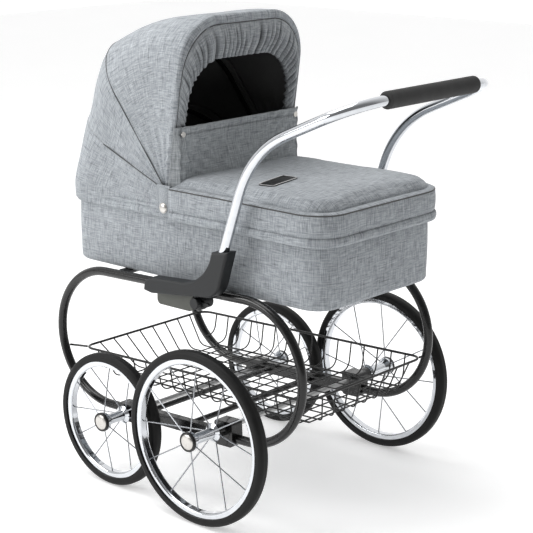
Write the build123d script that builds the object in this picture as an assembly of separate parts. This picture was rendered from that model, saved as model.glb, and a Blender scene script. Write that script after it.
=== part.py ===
from build123d import *
import math
import os

# Carriage-built pram: bassinet with folding hood, apron and wind flap, on a hooped tube chassis.
# Millimetres. +Z is up, +Y points to the pusher, +X is the pram's left side.
# The origin lies on the floor, under the middle of the overall box. Left pieces are modelled
# and mirrored to the right.

# ---- wheels and axles
REAR_WHEEL_R = 150.0
FRONT_WHEEL_R = 119.5
REAR_AXLE_Y = 64.0
FRONT_AXLE_Y = -174.0
REAR_TYRE_X = 246.0  # tyre mid-plane from the pram's middle
FRONT_TYRE_X = 218.0
TYRE_WIDTH = 22.0
TYRE_DEPTH = 14.0
TYRE_SHOULDER_R = 8.0
RIM_WIDTH = 17.0
RIM_DEPTH = 10.0
RIM_WALL = 1.5
SPOKE_COUNT = 12
SPOKE_R = 1.1
SPOKE_BITE = 1.0  # how far a spoke is screwed into the rim and the hub flange
HUB_FLANGE_R = 16.0
HUB_BARREL_R = 9.5
HUB_FLANGE_T = 4.0
HUB_END_R = 12.0
HUB_OUTBOARD = 22.0  # tyre mid-plane to the hub's outer end
CAP_T = 5.0
CAP_R = 13.5
AXLE_R = 4.5
AXLE_END_GAP = 1.0
RUNNING_GAP = 0.05
PAST = 1.0  # how far a cutting bar runs past the face it cuts
WHEEL_GAP = 1.5  # hub end to axle block
FRONT_HUB_ROOM = 14.0  # side frame's middle to the hub's inner end
REAR_HUB_ROOM = 34.0

# ---- side frames: one long loop of tube on each side, tilted up towards the pusher
LOOP_X = 171.0
LOOP_TUBE_R = 8.0
TUBE_WALL = 1.5
LOOP_FRONT = (-226.0, 246.0)  # y, z of the front arc's centre
LOOP_REAR = (104.0, 256.0)
LOOP_R = 122.5
HOOP_JOINT_Y = 0.0  # front and rear hoops meet here, under the casting
BLOCK_LENGTH = 40.0
BLOCK_INNER_X = 158.0
BLOCK_COVER = 13.0  # block material beyond the axle and the tube
BOSS_R = 12.0
BEAM_HEIGHT = 22.0
BEAM_WIDTH = 14.0
BEAM_CORNER_R = 4.0
BLOCK_CORNER_R = 6.0

# ---- cross members
BAR_R = 5.0
HANGER_R = 2.0
UNDER_BAR_U = (84.0, 188.0)  # along the loop, from the front arc's centre
CARRIER_Y = (-190.0, 60.0)
CARRIER_WIDTH = 24.0
CARRIER_T = 4.0

# ---- wire basket, in the loop's tilted frame
BASKET_RIM_HALF = 157.0
BASKET_RIM_R = 2.2
BASKET_WIRE_R = 1.3
BASKET_FOOT_R = 1.7
BASKET_CORNER_R = 22.0
BASKET_U = (-82.0, 450.0)  # front and rear rim, along the loop
BASKET_V = -33.0  # rim height against the line of the arcs' centres
BASKET_DEPTH = 49.0
BASKET_FLOOR_HALF = 122.0
BASKET_FLOOR_U = (-8.0, 424.0)
BASKET_SIDE_WIRES = 16
BASKET_END_WIRES = 8
BASKET_BEND_R = 20.0
BASKET_SIDE_LEAN = 9.0  # a side wire's lean before its bend
BASKET_END_RISE = 0.45  # share of the depth that the side wires lose beyond the floor
BASKET_FLOOR_MARGIN = 6.0  # floor edge to the outermost lengthwise wire
BASKET_END_BEND = 1.1  # an end wire's bend radius, in lengths of its level run
BASKET_END_KNEE = 0.62  # where an end wire would reach the floor's height, from rim to floor

# ---- handle, castings and their pivots
PIVOT = (15.0, 361.0)
PIVOT_R = 5.0
PIVOT_LUG_R = 12.0
CASTING_X = (180.0, 203.0)
# the casting's outline seen from the side, as points of y and z
CASTING_NOSE = ((-102, 365), (-100, 380), (-86, 389), (-8, 394))
CASTING_THROAT = ((-8, 394), (34, 414), (57, 456))
CASTING_MOUTH = ((57, 456), (93, 461), (75, 402))
CASTING_HEEL = ((75, 402), (62, 384), (38, 376))
CASTING_BASE = ((38, 376), (-84, 362), (-102, 365))
CASTING_EDGE_R = 4.0
CASTING_EAR_T = 8.0
CASTING_EAR_R = 13.0
ARM_X = 190.5
ARM_R = 8.5
ARM_FOOT = (57.3, 405.0)
ARM_KNEE = (134.4, 630.8)
ARM_KNEE_R = 180.0
GRIP_Y = 342.5
GRIP_Z = 723.0
GRIP_CORNER_R = 70.0
GRIP_R = 14.0
GRIP_HALF = 118.0
GRIP_EDGE_R = 4.0
LEVER_T = 4.0
LEVER_RING_R = 9.0
LEVER_LENGTH = 26.0
LEVER_WIDTH = 6.0
LEVER_END_R = 2.5
KNOB_R = 10.0
KNOB_T = 8.0
KNOB_EDGE_R = 2.0
KNOB_ROOM = 4.0  # clear of the casting, all round
LUG_WELD = 2.0  # how far a lug laps the tube it is welded to
SIDE_GAP = 0.4
BRACKET = (-92.0, -8.0, 338.0)  # front, rear and lower edge
BRACKET_T = 2.0
BRACKET_CORNER_R = 9.0

# ---- bassinet
SHELL_HALF = 155.0
SHELL_Y = (-334.0, 252.0)
SHELL_Z = (376.0, 495.0)
SHELL_CORNER_R = 45.0
SHELL_WALL = 5.0
SHELL_EDGE_R = 8.0
BOARD_T = 4.0
MATTRESS_T = 26.0
MATTRESS_EDGE_R = 8.0
LINER_GAP = 1.0
ROLL_T = 6.5
ROLL_Z = (484.0, 503.0)
ROLL_EDGE_R = 3.0
STUD_TAB_ROOM = 4.0  # the stud's head stands off the roll by the cloth tab under it
STUD_EDGE_R = 1.8
STUD_R = 10.0
STUD_T = 4.0
STUD_SHANK_R = 3.0

# ---- hood, a fan of arches about the hood pivot
HOOD_PIVOT = (-87.0, 503.0)
HOOD_LAP = 2.0  # the hood stands this far outside the shell
HOOD_HALF = SHELL_HALF + HOOD_LAP
HOOD_T = 2.0
HOOD_ROOT_R = 16.0  # the panels start this far from the pivot
FRONT_ANGLE = -6.3  # degrees from upright, positive towards the head end
MIDDLE_ANGLE = 37.0
REAR_ANGLE = 63.6
# angle, arch height from the pivot line, corner radius of the arch
HOOD_ARCHES = (
    (FRONT_ANGLE, 321.0, 88.0),
    (MIDDLE_ANGLE, 327.0, 105.0),
    (REAR_ANGLE, 286.0, 100.0),
    (90.0, 255.0, 52.0),
)
HOOD_SEAM_GAP = 0.25  # degrees between neighbouring panels
HOOD_FRONT_LAP = 0.5  # degrees the front panel reaches past its bow
HOOD_SECTIONS = 5
BOW_T = 3.0
BOW_WIDTH = 8.0
BOW_EYE_R = 7.0
BOW_BITE = 1.0  # how far a leg laps its eye
BOW_STEP = 4.0  # each bow's legs stand this far inside the next one's
BOW_CLEARANCE = 2.0
VISOR_OFFSET = 6.8  # its front face, ahead of the front bow's plane
OPENING_INSET = 27.0  # hood side to the opening's side
OPENING_HALF = HOOD_HALF - OPENING_INSET
OPENING_R = 250.0
OPENING_CORNER_R = 78.0

# ---- apron and wind flap
APRON_ROOM = 11.0  # shell side to the apron's outer side
APRON_HALF = SHELL_HALF + APRON_ROOM
APRON_Y = (-58.0, 262.0)
APRON_Z = (487.0, 548.0)
APRON_WALL = 3.5
APRON_TOP_T = 22.0
APRON_EDGE_R = 9.0
FLAP_INSET = 5.0  # flap edge inside the hood's side
FLAP_HALF = HOOD_HALF - FLAP_INSET
FLAP_Y = -60.0  # its front face
FLAP_Z = (550.5, 641.0)
FLAP_T = 3.0
FLAP_CORNER_R = 6.0
FLAP_STUD_R = 5.0
FLAP_STUD_T = 2.0
FLAP_STUD_Z = 629.0
FLAP_STUD_INSET = 8.0
FLAP_STUD_X = FLAP_HALF - FLAP_STUD_INSET
BADGE_SIZE = (80.0, 33.0, 1.5)
BADGE_PLACE = (77.0, 93.0)
BADGE_CORNER_R = 6.0

LOOP_TILT = math.atan2(LOOP_REAR[1] - LOOP_FRONT[1], LOOP_REAR[0] - LOOP_FRONT[0])
LOOP_LENGTH = math.dist(LOOP_FRONT, LOOP_REAR)
REAR_HUB_IN = LOOP_X + REAR_HUB_ROOM
FRONT_HUB_IN = LOOP_X + FRONT_HUB_ROOM
FROM_BASE = (Align.CENTER, Align.CENTER, Align.MIN)


def save(name, *solids):
    """Write one node from its solids."""
    whole = solids[0] if len(solids) == 1 else Compound(children=list(solids))
    export_step(whole, f"parts/{name}.step")


def right(solid):
    """The mirror image on the pram's right side."""
    return mirror(solid, about=Plane.YZ)


def on_loop(u, v, x=0.0):
    """A point in the loop's frame: u along it from the front centre, v across it, upwards."""
    y = LOOP_FRONT[0] + u * math.cos(LOOP_TILT) - v * math.sin(LOOP_TILT)
    z = LOOP_FRONT[1] + u * math.sin(LOOP_TILT) + v * math.cos(LOOP_TILT)
    return Vector(x, y, z)


def loop_uv(y, z):
    """The loop-frame place of a point given by y and z."""
    dy = y - LOOP_FRONT[0]
    dz = z - LOOP_FRONT[1]
    cos_t = math.cos(LOOP_TILT)
    sin_t = math.sin(LOOP_TILT)
    return dy * cos_t + dz * sin_t, dz * cos_t - dy * sin_t


def loop_plane(u, v, x=0.0):
    """A work plane on the loop's frame: local x along the loop, local y across it."""
    along = Vector(0, math.cos(LOOP_TILT), math.sin(LOOP_TILT))
    return Plane(origin=on_loop(u, v, x), x_dir=along, z_dir=Vector(1, 0, 0))


def rod(start, end, radius):
    """A round bar between two points."""
    line = Vector(end) - Vector(start)
    bar = Cylinder(radius, line.length, align=FROM_BASE)
    return Plane(origin=start, z_dir=line) * bar


def bent_rod(path, radius, wall=0.0):
    """A bar, or a tube when a wall is given, along a path."""
    face = Circle(radius) - Circle(radius - wall) if wall else Circle(radius)
    return sweep(Plane(origin=path @ 0, z_dir=path % 0) * face, path=path)


def ring_x(radius, bore, x0, x1, y, z):
    """A disc with a bore, its axis along X."""
    disc = rod((x0, y, z), (x1, y, z), radius)
    return disc - rod((x0 - PAST, y, z), (x1 + PAST, y, z), bore) if bore else disc


# ---------------------------------------------------------------- wheels
def wheel(radius, tyre_x, hub_in):
    """One left wheel's tyre, rim, spokes, hub and cap, on its axle line at the origin."""
    bed_r = radius - TYRE_DEPTH
    band = Pos(0, bed_r + TYRE_DEPTH / 2) * Rectangle(TYRE_WIDTH, TYRE_DEPTH)
    band = fillet(band.vertices().sort_by(Axis.Y)[-2:], TYRE_SHOULDER_R)
    channel = Pos(0, bed_r - RIM_DEPTH / 2) * Rectangle(RIM_WIDTH, RIM_DEPTH)
    channel = fillet(channel.vertices().sort_by(Axis.Y)[:2], RIM_DEPTH * 0.4)
    groove = Pos(0, bed_r - (RIM_DEPTH - RIM_WALL) / 2)
    channel -= groove * Rectangle(RIM_WIDTH - 2 * RIM_WALL, RIM_DEPTH - RIM_WALL)
    low = hub_in - tyre_x
    high = HUB_OUTBOARD
    bore = AXLE_R + RUNNING_GAP
    flange_in = low + HUB_FLANGE_T
    flange_out = high - HUB_FLANGE_T
    outline = Polyline(
        (low, bore), (low, HUB_END_R), (flange_in, HUB_FLANGE_R), (flange_in + HUB_FLANGE_T, HUB_BARREL_R),
        (flange_out - 3 * HUB_FLANGE_T, HUB_BARREL_R), (flange_out - HUB_FLANGE_T, HUB_FLANGE_R),
        (high, HUB_FLANGE_R), (high, bore), close=True,
    )
    cap = ring_x(CAP_R, 0, high, high + CAP_T, 0, 0)
    cap = fillet(cap.faces().sort_by(Axis.X)[-1].edges(), CAP_T * 0.7)
    spokes = []
    for i in range(SPOKE_COUNT):
        turn = 2 * math.pi * i / SPOKE_COUNT
        seat = flange_out - HUB_FLANGE_T / 2 if i % 2 else flange_in + 0.5
        hub_r = HUB_FLANGE_R - SPOKE_BITE
        rim_r = bed_r - RIM_DEPTH + SPOKE_BITE
        spokes.append(rod(
            (seat, hub_r * math.cos(turn), hub_r * math.sin(turn)),
            (0, rim_r * math.cos(turn), rim_r * math.sin(turn)), SPOKE_R,
        ))
    return {
        "tyre": [revolve(band, Axis.X)],
        "rim": [revolve(channel, Axis.X)],
        "spokes": spokes,
        "hub": [revolve(make_face(outline), Axis.X)],
        "hub_cap": [cap],
    }


def make_wheels():
    sets = (
        ("front", FRONT_WHEEL_R, FRONT_TYRE_X, FRONT_HUB_IN, FRONT_AXLE_Y),
        ("rear", REAR_WHEEL_R, REAR_TYRE_X, REAR_HUB_IN, REAR_AXLE_Y),
    )
    for where, radius, tyre_x, hub_in, axle_y in sets:
        for piece, solids in wheel(radius, tyre_x, hub_in).items():
            placed = [Pos(tyre_x, axle_y, radius) * s for s in solids]
            save(f"{where}_{piece}_left", *placed)
            save(f"{where}_{piece}_right", *[right(s) for s in placed])


# ---------------------------------------------------------------- chassis
def block_span(axle_y, axle_z):
    """The loop-frame u span of an axle block."""
    u, _ = loop_uv(axle_y, axle_z)
    return u - BLOCK_LENGTH / 2, u + BLOCK_LENGTH / 2


def hoop_path(joint_u, bend_u, far_u, foot_u):
    """A hoop's centre line: from the joint along the top, round the end and back below to its block."""
    joint = on_loop(joint_u, LOOP_R, LOOP_X)
    bend = on_loop(bend_u, LOOP_R, LOOP_X)
    far = on_loop(far_u, 0, LOOP_X)
    low = on_loop(bend_u, -LOOP_R, LOOP_X)
    foot = on_loop(foot_u, -LOOP_R, LOOP_X)
    return Wire([
        Edge.make_line(joint, bend),
        Edge.make_three_point_arc(bend, far, low),
        Edge.make_line(low, foot),
    ])


def make_side_frames():
    joint_u, _ = loop_uv(HOOP_JOINT_Y, LOOP_FRONT[1] + LOOP_R)
    front_block = block_span(FRONT_AXLE_Y, FRONT_WHEEL_R)
    rear_block = block_span(REAR_AXLE_Y, REAR_WHEEL_R)
    front_path = hoop_path(joint_u, 0, -LOOP_R, front_block[0])
    rear_path = hoop_path(joint_u, LOOP_LENGTH, LOOP_LENGTH + LOOP_R, rear_block[1])
    beam_length = rear_block[0] - front_block[1]
    section = RectangleRounded(beam_length, BEAM_HEIGHT, BEAM_CORNER_R)
    beam_plane = loop_plane((front_block[1] + rear_block[0]) / 2, -LOOP_R, LOOP_X)
    beam = beam_plane * extrude(section, BEAM_WIDTH / 2, both=True)
    pieces = {
        "front_hoop": bent_rod(front_path, LOOP_TUBE_R, TUBE_WALL),
        "rear_hoop": bent_rod(rear_path, LOOP_TUBE_R, TUBE_WALL),
        "lower_beam": beam,
    }
    for name, solid in pieces.items():
        save(f"{name}_left", solid)
        save(f"{name}_right", right(solid))


def axle_block(axle_y, axle_z, hub_in):
    """A block that joins the hoop, the beam and the axle, with a boss out to the hub."""
    u, v = loop_uv(axle_y, axle_z)
    low = min(v, -LOOP_R) - BLOCK_COVER
    high = max(v, -LOOP_R) + BLOCK_COVER
    outer_x = LOOP_X + BLOCK_COVER - RUNNING_GAP
    width = outer_x - BLOCK_INNER_X
    plane = loop_plane(u, (low + high) / 2, (outer_x + BLOCK_INNER_X) / 2)
    body = plane * extrude(RectangleRounded(BLOCK_LENGTH, high - low, BLOCK_CORNER_R), width / 2, both=True)
    boss_end = hub_in - WHEEL_GAP
    if boss_end > outer_x + 1:
        body += rod((BLOCK_INNER_X + 2, axle_y, axle_z), (boss_end, axle_y, axle_z), BOSS_R)
    return body - rod((0, axle_y, axle_z), (hub_in, axle_y, axle_z), AXLE_R + RUNNING_GAP)


def make_running_gear():
    blocks = []
    axles = (
        ("front_axle", FRONT_AXLE_Y, FRONT_WHEEL_R, FRONT_TYRE_X, FRONT_HUB_IN),
        ("rear_axle", REAR_AXLE_Y, REAR_WHEEL_R, REAR_TYRE_X, REAR_HUB_IN),
    )
    for name, y, z, tyre_x, hub_in in axles:
        half = tyre_x + HUB_OUTBOARD - AXLE_END_GAP
        save(name, rod((-half, y, z), (half, y, z), AXLE_R))
        block = axle_block(y, z, hub_in)
        blocks += [block, right(block)]
    save("axle_blocks", *blocks)


def make_cross_members():
    bars = []
    for u in UNDER_BAR_U:
        a = on_loop(u, -LOOP_R, LOOP_X - BEAM_WIDTH / 2)
        bars.append(rod((-a.X, a.Y, a.Z), (a.X, a.Y, a.Z), BAR_R))
    reach = math.sqrt(LOOP_R ** 2 - BASKET_V ** 2)
    turn = BASKET_CORNER_R * (1 - math.sqrt(0.5))
    for rim_u, hoop_u, way in ((BASKET_U[0], -reach, 1), (BASKET_U[1], LOOP_LENGTH + reach, -1)):
        corner = on_loop(rim_u + way * turn, BASKET_V, BASKET_RIM_HALF - turn)
        hoop = on_loop(hoop_u, BASKET_V, LOOP_X - LOOP_TUBE_R)
        run = (hoop - corner).normalized()
        hanger = rod(corner + run * (BASKET_RIM_R + HANGER_R), hoop - run * 2 * HANGER_R, HANGER_R)
        bars += [hanger, right(hanger)]
    save("basket_supports", *bars)
    carrier = Box(2 * (LOOP_X - LOOP_TUBE_R - SIDE_GAP), CARRIER_WIDTH, CARRIER_T)
    save("carrier_bars", *[Pos(0, y, SHELL_Z[0] - CARRIER_T / 2) * carrier for y in CARRIER_Y])


def make_brackets():
    """Plates under the top tubes that hold the bassinet's foot."""
    front, rear, low = BRACKET
    middle_y = (front + rear) / 2
    u, _ = loop_uv(middle_y, LOOP_FRONT[1])
    tube_z = on_loop(u, LOOP_R).Z
    height = tube_z - low
    plate = Pos(0, middle_y, low + height / 2) * Box(BRACKET_T, rear - front, height)
    plate = fillet(plate.edges().filter_by(Axis.X).sort_by(Axis.Z)[:2], BRACKET_CORNER_R)
    plate_x = LOOP_X + LOOP_TUBE_R - BRACKET_T / 2
    plate = Pos(plate_x, 0, 0) * plate
    flange_length = rear - front - 2 * BRACKET_CORNER_R
    flange = Box(2 * (plate_x - LOOP_X), flange_length, BRACKET_T)
    plate += Pos(LOOP_X, middle_y, low + BRACKET_T / 2) * flange
    start = on_loop(0, LOOP_R, LOOP_X)
    end = on_loop(LOOP_LENGTH, LOOP_R, LOOP_X)
    plate -= rod(start, end, LOOP_TUBE_R + RUNNING_GAP)
    save("support_brackets", plate, right(plate))


# ---------------------------------------------------------------- basket
def basket_corner(side, u, v=0.0):
    return on_loop(u, BASKET_V + v, side)


def straight_wires(points):
    """Round wires between pairs of points."""
    return [rod(a, b, BASKET_WIRE_R) for a, b in points]


def joined(solids):
    """One solid from overlapping ones."""
    whole = solids[0]
    for s in solids[1:]:
        whole += s
    return whole


def make_basket():
    half = BASKET_RIM_HALF
    inner = half - BASKET_CORNER_R
    u0, u1 = BASKET_U
    f0, f1 = BASKET_FLOOR_U
    floor = -BASKET_DEPTH
    side_u = [u0 + BASKET_CORNER_R + (u1 - u0 - 2 * BASKET_CORNER_R) * (i + 0.5) / BASKET_SIDE_WIRES
              for i in range(BASKET_SIDE_WIRES)]
    rim_ends = [basket_corner(half, u) for u in (u0 + BASKET_CORNER_R, u1 - BASKET_CORNER_R)]
    side = [rod(*rim_ends, BASKET_RIM_R)]
    for u in side_u:
        beyond = abs(u - min(max(u, f0), f1))
        depth = floor * (1 - BASKET_END_RISE * beyond / (f0 - u0))
        path = FilletPolyline(
            basket_corner(half, u),
            basket_corner(half - BASKET_SIDE_LEAN, u, depth),
            basket_corner(BASKET_FLOOR_HALF, u, depth),
            radius=BASKET_BEND_R,
        )
        side.append(bent_rod(path, BASKET_WIRE_R))
    foot_ends = [basket_corner(BASKET_FLOOR_HALF, u, floor) for u in (f0, f1)]
    side.append(rod(*foot_ends, BASKET_FOOT_R))
    left = joined(side)
    save("basket_side_left", left)
    save("basket_side_right", right(left))

    ends = (("front", u0, f0, 1), ("rear", u1, f1, -1))
    for name, rim_u, floor_u, way in ends:
        bend = rim_u + way * BASKET_CORNER_R
        mid = rim_u + way * BASKET_CORNER_R * (1 - math.sqrt(0.5))
        mid_x = inner + BASKET_CORNER_R * math.sqrt(0.5)
        places = ((half, bend), (mid_x, mid), (inner, rim_u), (-inner, rim_u), (-mid_x, mid), (-half, bend))
        points = [basket_corner(x, u) for x, u in places]
        rim = Wire([
            Edge.make_three_point_arc(*points[:3]),
            Edge.make_line(*points[2:4]),
            Edge.make_three_point_arc(*points[3:]),
        ])
        wires = [bent_rod(rim, BASKET_RIM_R)]
        knee_u = rim_u + (floor_u - rim_u) * BASKET_END_KNEE
        foot_u = floor_u - way * 2.2 * BASKET_WIRE_R
        for i in range(BASKET_END_WIRES):
            x = (i + 0.5) / BASKET_END_WIRES * 2 - 1
            foot_x = x * (BASKET_FLOOR_HALF - BASKET_FLOOR_MARGIN)
            path = FilletPolyline(
                basket_corner(x * inner, rim_u),
                basket_corner(foot_x, knee_u, floor),
                basket_corner(foot_x, foot_u, floor),
                radius=BASKET_END_BEND * abs(foot_u - knee_u),
            )
            wires.append(bent_rod(path, BASKET_WIRE_R))
        save(f"basket_{name}_end", joined(wires))

    grid = []
    reach = BASKET_FLOOR_HALF - BASKET_FOOT_R
    for u in side_u:
        if f0 <= u <= f1:
            grid += straight_wires([(basket_corner(-reach, u, floor), basket_corner(reach, u, floor))])
    for i in range(BASKET_END_WIRES):
        x = ((i + 0.5) / BASKET_END_WIRES * 2 - 1) * (BASKET_FLOOR_HALF - BASKET_FLOOR_MARGIN)
        grid += straight_wires([(basket_corner(x, f0, floor), basket_corner(x, f1, floor))])
    for u in (f0, f1):
        grid += straight_wires([(basket_corner(-reach, u, floor), basket_corner(reach, u, floor))])
    save("basket_floor", joined(grid))


# ---------------------------------------------------------------- handle
def make_handle():
    arm = (
        (ARM_X, *ARM_FOOT), (ARM_X, *ARM_KNEE), (ARM_X, GRIP_Y, GRIP_Z),
        (-ARM_X, GRIP_Y, GRIP_Z), (-ARM_X, *ARM_KNEE), (-ARM_X, *ARM_FOOT),
    )
    path = FilletPolyline(*arm, radius=[ARM_KNEE_R, GRIP_CORNER_R, GRIP_CORNER_R, ARM_KNEE_R])
    save("handle_tube", bent_rod(path, ARM_R, TUBE_WALL))
    grip = ring_x(GRIP_R, ARM_R + RUNNING_GAP, -GRIP_HALF, GRIP_HALF, GRIP_Y, GRIP_Z)
    ends = grip.edges().filter_by(GeomType.CIRCLE).filter_by(lambda e: e.radius > ARM_R + 1)
    save("handle_grip", fillet(ends, GRIP_EDGE_R))

    x0, x1 = CASTING_X
    y_foot, z_foot = ARM_FOOT
    outline = make_face(
        Polyline(*CASTING_NOSE) + ThreePointArc(*CASTING_THROAT) + Polyline(*CASTING_MOUTH)
        + ThreePointArc(*CASTING_HEEL) + Polyline(*CASTING_BASE)
    )
    side_plane = Plane(origin=(x0, 0, 0), x_dir=(0, 1, 0), z_dir=(1, 0, 0))
    body = extrude(side_plane * outline, x1 - x0)
    body = fillet(body.faces().sort_by(Axis.X)[-1].edges(), CASTING_EDGE_R)
    y, z = PIVOT
    ear = ring_x(CASTING_EAR_R, 0, x0, x0 + CASTING_EAR_T, y, z)
    ear_room = rod((x0 + CASTING_EAR_T, y, z), (x1 + PAST, y, z), KNOB_R + KNOB_ROOM)
    body = body - ear_room + ear
    arm_run = Vector(0, ARM_KNEE[0] - y_foot, ARM_KNEE[1] - z_foot).normalized()
    foot = Vector(ARM_X, y_foot, z_foot)
    socket_end = foot + arm_run * (CASTING_MOUTH[1][1] - z_foot + 2 * CASTING_EAR_R)
    body -= rod(foot, socket_end, ARM_R + RUNNING_GAP)
    body -= rod((x0 - PAST, y, z), (x1, y, z), PIVOT_R + RUNNING_GAP)
    save("casting_left", body)
    save("casting_right", right(body))
    make_pivots()


def make_pivots():
    """A lug under each top tube with its pin and knob, and the clamp lever round the pin."""
    y, z = PIVOT
    lug_outer = CASTING_X[0] - SIDE_GAP
    lug_inner = LOOP_X - LOOP_TUBE_R + LUG_WELD
    lever_x = CASTING_X[0] + CASTING_EAR_T + SIDE_GAP
    knob_x = lever_x + LEVER_T + SIDE_GAP
    lug = ring_x(PIVOT_LUG_R, 0, lug_inner, lug_outer, y, z)
    start = on_loop(0, LOOP_R, LOOP_X)
    end = on_loop(LOOP_LENGTH, LOOP_R, LOOP_X)
    lug -= rod(start, end, LOOP_TUBE_R + RUNNING_GAP)
    lug += rod((lug_inner, y, z), (knob_x + PAST, y, z), PIVOT_R)
    knob = ring_x(KNOB_R, 0, knob_x, knob_x + KNOB_T, y, z)
    knob = fillet(knob.faces().sort_by(Axis.X)[-1].edges(), KNOB_EDGE_R)
    lug += knob
    save("pivot_pins", lug, right(lug))
    ring = ring_x(LEVER_RING_R, 0, lever_x, lever_x + LEVER_T, y, z)
    wing = Pos(lever_x + LEVER_T / 2, y + LEVER_LENGTH / 2, z) * Box(LEVER_T, LEVER_LENGTH, LEVER_WIDTH)
    wing = fillet(wing.edges().filter_by(Axis.X).sort_by(Axis.Y)[-2:], LEVER_END_R)
    lever = ring + wing - rod((lever_x - PAST, y, z), (knob_x, y, z), PIVOT_R + RUNNING_GAP)
    save("lock_lever_left", lever)
    save("lock_lever_right", right(lever))


# ---------------------------------------------------------------- bassinet
def plan_face(half, y0, y1, corner):
    """A rounded rectangle seen from above."""
    return Pos(0, (y0 + y1) / 2) * RectangleRounded(2 * half, y1 - y0, corner)


def make_bassinet():
    y0, y1 = SHELL_Y
    z0, z1 = SHELL_Z
    shell = Pos(0, 0, z0) * extrude(plan_face(SHELL_HALF, y0, y1, SHELL_CORNER_R), z1 - z0)
    shell = fillet(shell.faces().sort_by(Axis.Z)[0].edges(), SHELL_EDGE_R)
    w = SHELL_WALL
    room = plan_face(SHELL_HALF - w, y0 + w, y1 - w, SHELL_CORNER_R - w)
    shell -= Pos(0, 0, z0 + w) * extrude(room, z1 - z0)
    save("bassinet_shell", shell)
    inset = w + LINER_GAP
    lying = plan_face(SHELL_HALF - inset, y0 + inset, y1 - inset, SHELL_CORNER_R - inset)
    save("floor_board", Pos(0, 0, z0 + w) * extrude(lying, BOARD_T))
    mattress = Pos(0, 0, z0 + w + BOARD_T) * extrude(lying, MATTRESS_T)
    save("mattress", fillet(mattress.faces().sort_by(Axis.Z)[-1].edges(), MATTRESS_EDGE_R))
    t = ROLL_T
    height = ROLL_Z[1] - ROLL_Z[0]
    roll = extrude(plan_face(SHELL_HALF + t, y0 - t, y1 + t, SHELL_CORNER_R + t), height)
    roll = fillet(roll.faces().filter_by(Axis.Z).edges(), ROLL_EDGE_R)
    roll -= Pos(0, 0, -PAST) * extrude(plan_face(SHELL_HALF, y0, y1, SHELL_CORNER_R), height + 2 * PAST)
    roll = Pos(0, 0, ROLL_Z[0]) * roll
    y, z = HOOD_PIVOT
    head_x = SHELL_HALF + ROLL_T + STUD_TAB_ROOM
    roll -= rod((-head_x, y, z), (head_x, y, z), STUD_SHANK_R + RUNNING_GAP)
    save("rim_roll", roll)
    shank_in = SHELL_HALF - BOW_CLEARANCE - 3 * BOW_STEP - PAST
    stud = rod((shank_in, y, z), (head_x, y, z), STUD_SHANK_R)
    stud += ring_x(STUD_R, 0, head_x, head_x + STUD_T, y, z)
    stud = fillet(stud.faces().sort_by(Axis.X)[-1].edges(), STUD_EDGE_R)
    save("hood_pivot_studs", stud, right(stud))


# ---------------------------------------------------------------- hood
def arch_size(angle):
    """Height and corner radius of the hood's arch at an angle, between the given arches."""
    for (a0, h0, c0), (a1, h1, c1) in zip(HOOD_ARCHES, HOOD_ARCHES[1:]):
        if angle <= a1 or a1 == 90.0:
            s = (angle - a0) / (a1 - a0)
            s = s * s * (3 - 2 * s)
            return h0 + (h1 - h0) * s, c0 + (c1 - c0) * s


def arch_plane(angle, offset=0.0):
    """The plane of an arch: local x along +X, local y away from the pivot line."""
    tilt = math.radians(angle)
    up = Vector(0, -math.sin(tilt), math.cos(tilt))
    normal = Vector(1, 0, 0).cross(up)
    return Plane(origin=Vector(0, *HOOD_PIVOT) - normal * offset, x_dir=(1, 0, 0), z_dir=normal)


def arch_face(half, height, corner):
    """An upright arch, filled, from the panels' root to its top."""
    face = Pos(0, (height + HOOD_ROOT_R) / 2) * Rectangle(2 * half, height - HOOD_ROOT_R)
    return fillet(face.vertices().sort_by(Axis.Y)[-2:], corner)


def hood_panel(angle0, angle1):
    """A panel of the hood's skin between two angles."""
    sections = []
    for i in range(HOOD_SECTIONS):
        angle = angle0 + (angle1 - angle0) * i / (HOOD_SECTIONS - 1)
        height, corner = arch_size(angle)
        t = HOOD_T
        band = arch_face(HOOD_HALF, height, corner) - arch_face(HOOD_HALF - t, height - t, corner - t)
        sections.append(arch_plane(angle) * band)
    return loft(sections)


def bow_corner(x, y, radius):
    """A quarter turn about a centre, from straight above it to beside it."""
    slant = radius * math.sqrt(0.5)
    return ThreePointArc((x, y + radius), (x + slant, y + slant), (x + radius, y))


def bow(angle, leg_x):
    """A flat strip bow with an eye at each end, round the hood's pivot."""
    height, corner = arch_size(angle)
    top = height - HOOD_T - BOW_CLEARANCE
    c = corner - HOOD_T - BOW_CLEARANCE
    half = leg_x
    inner_half = half - BOW_T
    foot = BOW_EYE_R - BOW_BITE
    outline = make_face(
        Polyline((0, top - BOW_T), (0, top), (half - c, top))
        + bow_corner(half - c, top - c, c)
        + Polyline((half, top - c), (half, foot), (inner_half, foot), (inner_half, top - c))
        + bow_corner(half - c, top - c, c - BOW_T)
        + Line((half - c, top - BOW_T), (0, top - BOW_T))
    )
    strip = extrude(outline, BOW_WIDTH / 2, both=True)
    y, z = HOOD_PIVOT
    eye = ring_x(BOW_EYE_R, 0, inner_half, half, y, z)
    side = arch_plane(angle) * strip + eye
    side -= rod((inner_half - PAST, y, z), (half + PAST, y, z), STUD_SHANK_R + RUNNING_GAP)
    return side + right(side)


def visor():
    """The gathered front edge of the hood: a ring of cloth round the opening."""
    height, corner = arch_size(FRONT_ANGLE)
    outer = arch_face(HOOD_HALF, height, corner)
    gap = Pos(0, OPENING_R / 2) * Rectangle(2 * OPENING_HALF, OPENING_R)
    gap = fillet(gap.vertices().sort_by(Axis.Y)[-2:], OPENING_CORNER_R)
    ring = extrude(outer - gap, HOOD_T)
    return arch_plane(FRONT_ANGLE, VISOR_OFFSET) * ring


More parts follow.
